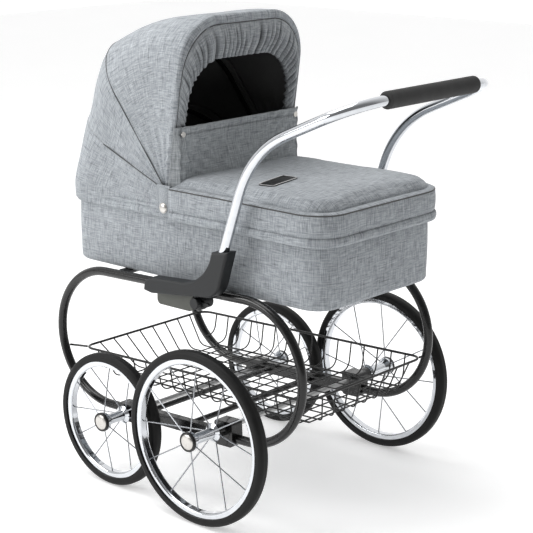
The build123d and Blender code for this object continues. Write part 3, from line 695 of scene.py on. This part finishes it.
# ---- hood
def hood_panel(name, low, high, steps, sag):
    """One panel of the hood's skin, between two arches, hollowing by a sag in mm between its bows."""
    rows = []
    if low == FRONT:  # the front edge turns round the bow to the visor
        rows += [front_line(leg * MM, crown * MM, ahead * MM) for leg, crown, ahead in FRONT_TURN]
    for i in range(steps + 1):
        s = i / steps
        angle = low + (high - low) * s
        dip = sag * 4 * s * (1 - s) * MM
        row = []
        for j, p in enumerate(arch_line(angle)):
            away = p - HOOD_PIVOT
            reach = Vector((0, away.y, away.z)).length
            side = smooth(abs(p.x), HOOD_HALF - SIDE_RUN, HOOD_HALF)
            radial = Vector((0, away.y, away.z)).normalized()
            inward = -radial * (1 - side) - Vector((math.copysign(1, p.x), 0, 0)) * side * SIDE_SAG
            ripple = crease(p, s, name, reach)
            row.append(p + inward * dip - inward.normalized() * ripple)
        rows.append(row)
    if high == RIM:  # the lower edge is drawn down over the rim's hem
        rows += [[Vector((p.x, p.y + back * MM, p.z - down * MM)) for p in rows[-1]]
                 for down, back in HOOD_FOOT]
    obj = wear(cloth(name, rows), LINEN, LINING)
    return finish_with(obj, "SOLIDIFY", thickness=CLOTH_T, offset=-1, material_offset=1)


def crease(p, s, name, reach):
    """How far the cloth stands out in its small folds, in metres."""
    soft = 1.1 * MM * noise.noise(p * 22)
    low_front = 0.0
    if name == "hood_rear_panel":
        soft += REAR_SWELL * hump(s, 0.86, 0.3) * smooth(-p.y, 200 * MM, 300 * MM)
    if name == "hood_front_panel":
        front_edge = hump(s, 0.06, 0.16)
        band = smooth(p.z, HOOD_PIVOT.z + 45 * MM, HOOD_PIVOT.z + 80 * MM)
        band *= 1 - smooth(p.z, HOOD_PIVOT.z + 170 * MM, HOOD_PIVOT.z + 230 * MM)
        wave = math.sin(math.tau * (p.z + 0.35 * p.y) / LOW_PITCH + 2 * noise.noise(p * 30))
        low_front = LOW_FOLD * front_edge * band * wave
    fan_fold = FAN_FOLD * hump(reach, 90 * MM, 60 * MM) * math.sin(24 * s + 3 * noise.noise(p * 12))
    return soft + low_front + fan_fold


def make_hood():
    front = hood_panel("hood_front_panel", FRONT, MIDDLE, steps=26, sag=8)
    middle_panel = hood_panel("hood_middle_panel", MIDDLE, REAR, steps=18, sag=5)
    rear = hood_panel("hood_rear_panel", REAR, RIM, steps=18, sag=3)
    for panel, end in ((front, "front"), (middle_panel, "middle"), (rear, "rear")):
        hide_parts(f"canopy_{end}")

    def across(low, high):
        """Points either side of a panel's middle, square to it."""
        half = math.radians((high - low) / 2)
        mid = math.radians((high + low) / 2)
        centre = HOOD_PIVOT + Vector((0, -math.sin(mid), math.cos(mid))) * BLEND_REACH
        side = Vector((0, math.cos(mid), math.sin(mid))) * BLEND_REACH * math.sin(half)
        return tuple(centre - side), tuple(centre + side)

    upper = welt("middle_seam", arch_line(MIDDLE, SEAM_INSET), SEAM_R)
    lower = welt("rear_seam_left", arch_line(REAR, SEAM_INSET)[:LEG_CUTS], SEAM_R)
    wear(upper, PIPING)
    wear(lower, PIPING)
    for piece in (front, upper):
        across(FRONT, MIDDLE)
        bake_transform(piece)
    for piece in (middle_panel, lower, copied(lower, "rear_seam_right", MIRROR)):
        across(MIDDLE, REAR)
        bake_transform(piece)
    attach(rear, "bassinet")
    make_visor()


def visor_lines(columns):
    """The outer and the opening's line of the visor, with the same number of points."""
    def evened(points):
        lengths = [0.0]
        for a, b in zip(points, points[1:]):
            lengths.append(lengths[-1] + (b - a).length)
        total, out, k = lengths[-1], [], 0
        for i in range(columns + 1):
            want = total * i / columns
            while k < len(points) - 2 and lengths[k + 1] < want:
                k += 1
            run = max(lengths[k + 1] - lengths[k], 1e-9)
            out.append(points[k].lerp(points[k + 1], min(1.0, (want - lengths[k]) / run)))
        return out, total

    outer = front_line(*VISOR_EDGE)
    inner = arch_line(FRONT, 0, VISOR_AHEAD - 2 * MM, (OPENING_TOP, OPENING_CORNER))
    return *evened(outer), evened(inner)[0]


def make_visor():
    """The hood's gathered front: cloth drawn in by an elastic round the opening."""
    columns, steps, hem_steps = 640, 16, 8
    outer, total, inner = visor_lines(columns)
    ahead = Vector((0, math.cos(math.radians(FRONT)), math.sin(math.radians(FRONT))))
    rows, shade = [], []
    for i in range(steps + hem_steps + 1):
        t = min(1.0, i / steps)
        row = []
        for j in range(columns + 1):
            run = total * j / columns
            top = smooth(inner[j].z, FOLDS_LOW, FOLDS_HIGH)
            turns = run / FOLD_PITCH + 1.1 * drift(run * 17, 0.25 * t, 4)
            crest = abs(math.sin(math.pi * turns)) ** 0.6
            deep = 1 + 0.9 * drift(turns * 0.8, 9, 1)
            fine = math.sin(math.tau * run / FINE_PITCH + 3 * drift(run * 30, 2, 0))
            start = 0.15 + 0.55 * drift(turns * 0.9, 3, 1)
            reach = smooth(t, start - 0.15, start + 0.55) * (0.35 + 0.65 * top)
            swell = VISOR_SWELL * math.sin(math.pi * min(1, t * 1.05)) * (0.3 + 0.7 * top)
            lift = swell + reach * deep * FOLD_DEPTH * (crest - 0.7) + FINE_DEPTH * t * t * fine
            # painted shade: darker in the valleys between the gathers, the more so where the folds are
            # deep
            shade.append(min(1.0, reach * deep * (1 - crest) ** 0.8))
            p = outer[j].lerp(inner[j], t)
            if i > steps:  # the elastic hem rolls inwards round itself
                turn = math.tau * ELASTIC_TURNS * (i - steps) / hem_steps
                inwards = (inner[j] - outer[j]).normalized()
                p = p + inwards * ELASTIC_R * math.sin(turn)
                lift -= ELASTIC_R * (1 - math.cos(turn))
            row.append(p + ahead * lift)
        rows.append(row)
    flat = [VISOR_FULLNESS * total * j / columns for j in range(columns + 1)]
    visor = cloth("hood_visor_gathers", rows, along=flat)
    shaded(visor, shade)
    wear(visor, LINEN_GATHERED)
    finish_with(visor, "SOLIDIFY", thickness=VISOR_T, offset=-1)
    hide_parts("hood_visor")
    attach(visor, "hood_front")
    edge = welt("hood_front_piping", front_line(*PIPING_EDGE), PIPING_R)
    wear(edge, PIPING)
    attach(edge, "hood_front")


# ---- bassinet
def make_bassinet():
    """The body: linen stretched over boards outside, lining inside, in one closed skin."""
    top, bottom = SHELL_HI.z, SHELL_LO.z
    line = plan_line(SHELL_HI.x, SHELL_LO.y, SHELL_HI.y, SHELL_CORNER, closed=True)
    lining = (bottom + BOARD_T, bottom + 30 * MM, bottom + 70 * MM, top - 10 * MM)
    rows = [risen(line, -BOARD_T, z) for z in lining]
    rows += [risen(line, -0.6 * BOARD_T, top), risen(line, 0, top)]
    for i in range(1, SIDE_STEPS):
        s = i / SIDE_STEPS
        z = top + (bottom + UNDER_R - top) * s
        belly = BELLY * math.sin(math.pi * s) - DRAWN_IN * (1 - s)
        rows.append(risen(
            line,
            lambda p, n: belly * (0.3 + 0.7 * max(abs(n.x), abs(n.y)) ** 8)
            + 0.7 * MM * drift(p.x * 9, p.y * 9, z * 14),
            z,
        ))
    for angle in (15, 35, 55, 75, 90):
        t = math.radians(angle)
        rows.append(risen(line, -UNDER_R * (1 - math.cos(t)), bottom + UNDER_R * (1 - math.sin(t))))
    rows.append(risen(line, -UNDER_LAP, bottom))
    body = cloth("bassinet_body", rows, closed=True)
    mesh = bmesh.new()
    mesh.from_mesh(body.data)
    mesh.verts.ensure_lookup_table()
    count = len(rows[0])
    mesh.faces.new([mesh.verts[i] for i in range(count)][::-1])
    mesh.faces.new([mesh.verts[len(rows) * count - count + i] for i in range(count)])
    mesh.faces.ensure_lookup_table()
    for face in mesh.faces[:4 * count] + mesh.faces[-2:-1]:
        face.material_index = 1
    mesh.to_mesh(body.data)
    mesh.free()
    close_up(body)
    wear(body, LINEN, LINING)
    soften(body, EVEN)
    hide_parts("bassinet_shell")
    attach(body, "bassinet")
    make_rim(line)


def make_rim(line):
    """The rolled hem round the bassinet's rim, and the tab round each hood stud."""
    roll_foot = corners("rim_roll")[0].z
    rows = []
    for out, up in RIM_PROFILE:
        rows.append(risen(
            line,
            lambda p, n: (out + 0.35 * noise.noise(p * 60) * smooth(out, 1, 3)) * MM
            - HEM_TUCK * smooth(p.y, SKIRT_HEAD_Y - TUCK_RUN, SKIRT_HEAD_Y) * smooth(out, 2, 5),
            lambda p: roll_foot + up * MM + 0.4 * MM * noise.noise(p * 14),
        ))
    roll = cloth("rim_hem", rows + rows[:1], closed=True)
    close_up(roll)
    wear(roll, LINEN)
    soften(roll, ROUND)
    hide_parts("rim_roll")
    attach(roll, "bassinet")
    make_tabs()


def make_tabs():
    """The cloth tab round each hood stud, rounded below and stitched round its edge."""
    x = SHELL_HI.x + TAB_OUT
    foot, head = HOOD_PIVOT.z - TAB_R, SEAM_Z + TAB_LAP
    place = (x + TAB_T / 2, HOOD_PIVOT.y, (foot + head) / 2)
    tab = block("stud_tab_left", (TAB_T, 2 * TAB_R, head - foot), place)
    choose("edges", lambda p, run: abs(run.normalized().x) > ALONG and p.z < HOOD_PIVOT.z)
    bpy.ops.mesh.bevel(offset=TAB_R * 0.98, segments=12)
    choose("faces", lambda p, n: n.x > ALONG)
    terrace(TAB_STEPS, OUTWARDS)
    close_up(tab)
    lay_weave(tab)
    wear(tab, LINEN)
    soften(tab, ROUND)
    twin = copied(tab, "stud_tab_right", MIRROR)
    for piece in (tab, twin):
        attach(piece, "bassinet")


# ---- padding
def stuffed(name, source, voxel, pressure, cap):
    """A closed form as padding: remeshed, then inflated as cloth but no further than a cap."""
    finish_with(source, "REMESH", mode="VOXEL", voxel_size=voxel, use_smooth_shade=True)
    start = [v.co.copy() for v in source.data.vertices]
    take_up(source)
    puff = source.modifiers.new("Cloth", "CLOTH")
    puff.settings.quality = PUFF_QUALITY
    puff.settings.use_pressure = True
    puff.settings.uniform_pressure_force = pressure
    puff.settings.effector_weights.gravity = 0
    puff.point_cache.frame_start, puff.point_cache.frame_end = 1, PUFF_FRAMES
    for step in range(1, PUFF_FRAMES + 1):
        bpy.context.scene.frame_set(step)
    bpy.ops.object.modifier_apply(modifier=puff.name)
    bpy.context.scene.frame_set(1)
    for vertex, was in zip(source.data.vertices, start):
        moved = vertex.co - was
        if moved.length > cap:
            vertex.co = was + moved * (cap / moved.length)
    finish_with(source, "SUBSURF", levels=1, render_levels=1)
    source.name = source.data.name = name
    return soften(source, ROUND)


def slab(name, half, head, foot, corner, low, high, closed=True):
    """A plain slab to be stuffed, its corners rounded all round, or at the foot end only."""
    centre = (0, (head + foot) / 2, (low + high) / 2)
    obj = block(name, (2 * half, foot - head, high - low), centre)
    round_from = -math.inf if closed else centre[1]
    choose("edges", lambda p, run: abs(run.normalized().z) > ALONG and p.y > round_from)
    bpy.ops.mesh.bevel(offset=corner, segments=10)
    choose("edges", lambda p, run: abs(run.normalized().z) < ACROSS)
    bpy.ops.mesh.bevel(offset=(high - low) * SLAB_EDGE, segments=3)
    return close_up(obj)


def make_mattress():
    lo, hi = corners("mattress")
    form = slab("mattress_form", hi.x - 4 * MM, lo.y + 4 * MM, hi.y - 4 * MM, SHELL_CORNER - 6 * MM,
                lo.z + 1 * MM, hi.z - 4 * MM)
    pad = stuffed("mattress_pad", form, voxel=6 * MM, pressure=3.0, cap=5 * MM)
    for v in pad.data.vertices:
        v.co.z = max(v.co.z, lo.z)
        v.co.x = max(-hi.x, min(hi.x, v.co.x))
        v.co.y = max(lo.y, min(hi.y, v.co.y))
    lay_weave(pad)
    wear(pad, COTTON)
    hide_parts("mattress")
    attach(pad, "bassinet")


# ---- apron
def seam_height(p):
    """The welted seam dips a little towards the foot end."""
    return SEAM_Z - 2 * MM * smooth(p.y, 0, APRON_HI.y) + 0.6 * MM * noise.noise(p * 11)


def make_apron():
    half, foot = APRON_HI.x, APRON_HI.y
    form = slab("apron_form", half - 3 * MM, SKIRT_HEAD_Y - 6 * MM, foot - 3 * MM,
                APRON_CORNER - 3 * MM, SEAM_Z - 9 * MM, APRON_HI.z - 3 * MM, closed=False)
    pad = stuffed("apron_pad", form, voxel=5 * MM, pressure=4.0, cap=9 * MM)
    for v in pad.data.vertices:
        p = v.co
        edge = min(half - abs(p.x), foot - p.y)
        crown = smooth(edge, 0, 70 * MM) * (1 - 0.5 * smooth(-p.y, 0, 60 * MM))
        if p.z > SEAM_Z:
            p.z += CROWN * crown + LUMPS * drift(p.x * 8, p.y * 8, 3)
            pucker = hump(edge, 7 * MM, 9 * MM) * math.sin((p.x + p.y) * math.tau / PUCKER_PITCH)
            p.z += PUCKER * pucker
            drag = hump(p.x - 0.35 * p.y, 118 * MM, 13 * MM) * hump(p.y, 60 * MM, 80 * MM)
            p.z -= DRAG * drag
        p.x = max(-half, min(half, p.x))
        p.y = min(foot, p.y)
    lay_weave(pad)
    wear(pad, LINEN)
    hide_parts("apron")
    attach(pad, "apron")
    make_skirt(half, foot)


def make_skirt(half, foot):
    """The apron's side: a band hung from the welted seam, ending in a rolled hem."""
    line = plan_line(half, SKIRT_HEAD_Y, foot, APRON_CORNER, step=6 * MM)
    hem_top = SKIRT_FOOT_Z + SKIRT_HEM
    rows = []
    for inset, up in SKIRT_LIP:
        rows.append(risen(line, inset * MM, lambda p: seam_height(p) + up * MM))
    for i in range(SKIRT_STEPS + 1):
        s = i / SKIRT_STEPS
        belly = 1.6 * math.sin(math.pi * s) - 1.2 * hump(s, 1.0, 0.08)

        rows.append(risen(
            line,
            lambda p, n: (belly + 0.7 * drift(p.x * 16, p.y * 16, 5) * math.sin(math.pi * s)) * MM,
            lambda p: seam_height(p) + (hem_top - seam_height(p)) * s,
        ))
    wide, tall = HEM_OVAL
    for k in range(HEM_STEPS - 1):
        t = math.tau * (0.28 - k / HEM_STEPS)
        rows.append(risen(
            line,
            lambda p, n: (0.4 + wide * math.cos(t) + 0.4 * noise.noise(p * 45)) * MM,
            lambda p: SKIRT_FOOT_Z + HEM_UP + tall * math.sin(t) + 0.5 * MM * noise.noise(p * 12),
        ))
    skirt = cloth("apron_skirt", rows)
    finish_with(skirt, "SOLIDIFY", thickness=SKIRT_T, offset=-1)
    wear(skirt, LINEN)
    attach(skirt, "apron")
    edge = [p + Vector((0, 0, seam_height(p))) for p in risen(line, 0.4 * MM, 0)]
    seam = welt("apron_welt", edge, WELT_R)
    wear(seam, PIPING)
    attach(seam, "apron")


def make_flap():
    """The wind flap: a panel with a wide turned hem on top and narrow ones at its sides."""
    lo, hi = FLAP_LO, FLAP_HI
    half = hi.x - SIDE_HEM
    columns, steps, margin = 100, 46, 8
    legs = arch_line(FRONT, -0.6 * MM, VISOR_AHEAD + 1 * MM)
    foot, head = legs[0], legs[LEG_CUTS]
    rows, shade = [], []
    for i in range(steps + 1):
        s = i / steps
        row, dark = [], []
        for j in range(columns + 1):
            x = half - 2 * half * j / columns
            low = SEAM_Z + 1 * MM + 3 * MM * (1 - (x / half) ** 2)
            z = hi.z + (low - hi.z) * s
            down, stitch = hi.z - z, half - SIDE_HEM
            bulge = FLAP_BULGE * (1 - (x / half) ** 2) * smooth(s, 0.25, 1.0)
            hem = HEM_RISE * (1 - smooth(down, FLAP_HEM - 2 * MM, FLAP_HEM))
            groove = 0.8 * MM * hump(down, FLAP_HEM, 1.3 * MM)
            side = HEM_RISE * smooth(abs(x), half - 1 * MM, half)
            side_groove = 2.4 * MM * hump(abs(x), stitch, 1.6 * MM)
            pull = 1.8 * MM * drift(x * 9, z * 7, 2) * math.sin(math.pi * min(1, s * 1.1))
            near = Vector((abs(x) - (half - STUD_IN), z - (hi.z - STUD_IN))).length
            wave = math.sin((abs(x) * 0.8 - z) * math.tau / TUG_PITCH)
            tug = 1.5 * MM * hump(near, 35 * MM, 30 * MM) * wave
            y = lo.y + 1.5 * MM + bulge + max(hem, side) - groove - side_groove + pull + tug
            row.append(Vector((x, y, z)))
            # painted shade in the grooves of the top hem's and the side hems' stitched lines
            dark.append(0.55 * max(hump(down, FLAP_HEM, 1.6 * MM), hump(abs(x), stitch, 1.8 * MM)))
        edge = foot.lerp(head, (row[0].z - foot.z) / (head.z - foot.z))
        edge.z = row[0].z
        wrap = [edge.lerp(row[0], k / margin) for k in range(margin)]
        rows.append(wrap + row + [MIRROR @ p for p in reversed(wrap)])
        # the wrapped margins take a fixed share of painted shade
        shade += [WRAP_SHADE] * margin + dark + [WRAP_SHADE] * margin
    flap = cloth("wind_flap_cloth", rows)
    shaded(flap, shade)
    finish_with(flap, "SOLIDIFY", thickness=FLAP_T, offset=-1)
    wear(flap, LINEN_BAND)
    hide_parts("wind_flap")
    y, z = lo.y, lo.z
    z - 6 * MM
    z + 8 * MM
    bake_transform(flap)


# ---- hard fittings
def cap_profile(radius, depth, steps=7, rim=0.35):
    """A domed snap cap on a straight rim, which takes a share of its depth."""
    points = [(0, radius * 0.75), (0, radius), (depth * rim, radius)]
    for k in range(steps):
        t = math.pi / 2 * k / steps
        points.append((depth * (rim + (1 - rim) * math.sin(t)), radius * 0.93 * math.cos(t)))
    return points + [(depth, 0.0)]


def make_studs():
    outermost = corners("hood_pivot_studs")[1].x
    place = Vector((outermost - STUD_SUNK, HOOD_PIVOT.y, HOOD_PIVOT.z))
    big = spun("hood_stud_left", cap_profile(STUD_R, STUD_H), place)
    twin = copied(big, "hood_stud_right", MIRROR)
    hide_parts("hood_pivot_studs")
    for stud in (big, twin):
        wear(stud, STUD_METAL)
        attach(stud, "bassinet")


def make_caps():
    """A black ring and a domed metal cap on each hub."""
    for end in ENDS:
        lo, hi = corners(f"{end}_hub_cap_left")
        place = Vector((lo.x, (lo.y + hi.y) / 2, (lo.z + hi.z) / 2))
        for part, profile, finish in (("ring", CAP_RING, RING_BLACK), ("dome", CAP_DOME, STUD_METAL)):
            left = spun(f"{end}_cap_{part}_left", [(a * MM, r * MM) for a, r in profile], place)
            twin = copied(left, f"{end}_cap_{part}_right", MIRROR)
            for side, piece in zip(SIDES, (left, twin)):
                wear(piece, finish)
                "black_plastic" if part == "ring" else "chrome"
                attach(piece, f"wheel_{end}_{side}")
                if part == "dome":
                    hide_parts(f"{end}_hub_cap_{side}")


def make_badge():
    """A plain moulded patch with a raised border, lying on the apron's padding."""
    lo, hi = corners("badge_patch")
    centre = (lo + hi) / 2
    size = hi - lo
    badge = block("badge", (size.x, size.y, BADGE_T))
    choose("edges", lambda p, run: abs(run.normalized().z) > ALONG)
    bpy.ops.mesh.bevel(offset=BADGE_CORNER, segments=6)
    choose("faces", lambda p, n: n.z > ALONG)
    terrace(BADGE_STEPS, UP)
    choose("edges", lambda p, run: abs(run.normalized().z) < ACROSS and run.length > LONG_EDGE)
    bpy.ops.mesh.subdivide(number_cuts=9)
    bpy.ops.object.mode_set(mode="OBJECT")
    pad = BVHTree.FromObject(bpy.data.objects["apron_pad"], bpy.context.evaluated_depsgraph_get())
    for face in badge.data.polygons:
        out = max(abs(face.center.x) - size.x / 2, abs(face.center.y) - size.y / 2)
        border = face.normal.z > 0.5 and -BORDER_IN < out < -BORDER_OUT
        face.material_index = 1 if border else 0
    turn = Matrix.Rotation(math.radians(BADGE_TURN), 4, "Z")
    for v in badge.data.vertices:
        spot = turn @ v.co
        over = Vector((spot.x + centre.x, spot.y + centre.y, hi.z + WELL_ABOVE))
        hit = pad.ray_cast(over, -UP)[0]
        v.co = Vector((over.x, over.y, hit.z + v.co.z + BADGE_LIFT))
    wear(badge, BADGE, BADGE_BORDER)
    soften(badge, TURNED)
    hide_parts("badge_patch")
    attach(badge, "apron")


def keep(nodes, finish):
    """Gives a finish to CAD nodes whose shape is right."""
    for node in nodes:
        wear(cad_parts[node], finish)


def finish_frame():
    for side in SIDES:
        for end, tyre in zip(ENDS, (TYRE_FRONT, TYRE_REAR)):
            keep([f"{end}_rim_{side}", f"{end}_hub_{side}"], CHROME)
            keep([f"{end}_spokes_{side}"], SPOKE_STEEL)
            keep([f"{end}_tyre_{side}"], tyre)
        keep([f"front_hoop_{side}", f"rear_hoop_{side}", f"lower_beam_{side}"], TUBE_BLACK)
        keep([f"casting_{side}", f"lock_lever_{side}"], CASTING)
        keep([f"basket_side_{side}"], WIRE_BLACK)
    keep(["pivot_pins"], CASTING)
    keep(["basket_floor", "basket_front_end", "basket_rear_end"], WIRE_BLACK)
    keep(["front_axle", "rear_axle"], STEEL)
    keep(["axle_blocks", "basket_supports", "carrier_bars"], TUBE_BLACK)
    keep(["support_brackets"], GREY_PLATE)
    keep(["handle_tube"], CHROME)
    keep(["handle_grip"], FOAM)
    keep(["floor_board"], BOARD)
    keep(["front_bow", "middle_bow", "rear_bow"], SLEEVE)
    keep(["flap_studs"], STUD_METAL)


# ---- studio
FLOOR_SIZE, FLOOR_GLOW = 14, 0.34
LIGHT_FROM = (-0.72, -0.66, 0.2)
LIGHT_SPREAD = {"From Min": -0.5, "From Max": 0.75, "To Min": 0.22, "To Max": 1.05}
# name, place, aim, size and watts
SOFTBOXES = (
    ("overhead", (0.6, -0.8, 2.8), (0, 0, 0.4), (2.2, 1.6), 42),
    ("left_window", (2.6, -1.6, 1.5), (0, 0, 0.5), (1.6, 1.2), 38),
)
EYE, TARGET = Vector((2.0168, 1.7823, 1.0816)), Vector((-0.138, -0.108, 0.343))
SENSOR, LENS = 36.0, 107.4  # mm
SHIFT_X, SHIFT_Y = -0.0115, -0.0046
NEAR, FAR = 0.05, 40


def make_studio():
    scene = bpy.context.scene
    put_down()
    bpy.ops.mesh.primitive_plane_add(size=FLOOR_SIZE)
    floor = named("studio_floor")
    paint = Finish("pale floor", Roughness=0.6, Specular_IOR_Level=0.2, Emission_Color=(1.0, 1.0, 1.0),
                   Emission_Strength=FLOOR_GLOW)
    patch = paint.noise(3, detail=2.0)
    paint.set("Base Color", paint.ramp(patch, (0.3, grey(0.9)), (0.7, grey(0.93))))
    wear(floor, paint.material)

    world = bpy.data.worlds.new("studio")
    scene.world = world
    world.use_nodes = True
    nodes, links = world.node_tree.nodes, world.node_tree.links
    sky = nodes["Background"]
    sky.inputs["Strength"].default_value = 1.0
    heading = nodes.new("ShaderNodeTexCoord")
    facing = nodes.new("ShaderNodeVectorMath")
    facing.operation = "DOT_PRODUCT"
    facing.inputs[1].default_value = LIGHT_FROM
    spread = nodes.new("ShaderNodeMapRange")
    for key, value in LIGHT_SPREAD.items():
        spread.inputs[key].default_value = value
    links.new(heading.outputs["Generated"], facing.inputs[0])
    links.new(facing.outputs["Value"], spread.inputs["Value"])
    links.new(spread.outputs[0], sky.inputs["Color"])

    for name, place, aim, size, power in SOFTBOXES:
        data = bpy.data.lights.new(name, "AREA")
        data.shape, data.size, data.size_y, data.energy = "RECTANGLE", size[0], size[1], power
        light = added(name, data)
        light.location = place
        light.rotation_euler = (Vector(aim) - Vector(place)).to_track_quat("-Z", "Y").to_euler()

    camera = bpy.data.cameras.new("camera")
    camera.sensor_width, camera.lens = SENSOR, LENS
    camera.shift_x, camera.shift_y = SHIFT_X, SHIFT_Y
    camera.clip_start, camera.clip_end = NEAR, FAR
    eye = added("camera", camera)
    eye.location = EYE
    eye.rotation_mode = "QUATERNION"
    eye.rotation_quaternion = (TARGET - EYE).to_track_quat("-Z", "Y")
    scene.camera = eye
    scene.view_settings.view_transform = "Standard"


finish_frame()
make_bassinet()
make_mattress()
make_hood()
make_apron()
make_flap()
make_studs()
make_caps()
make_badge()
make_studio()
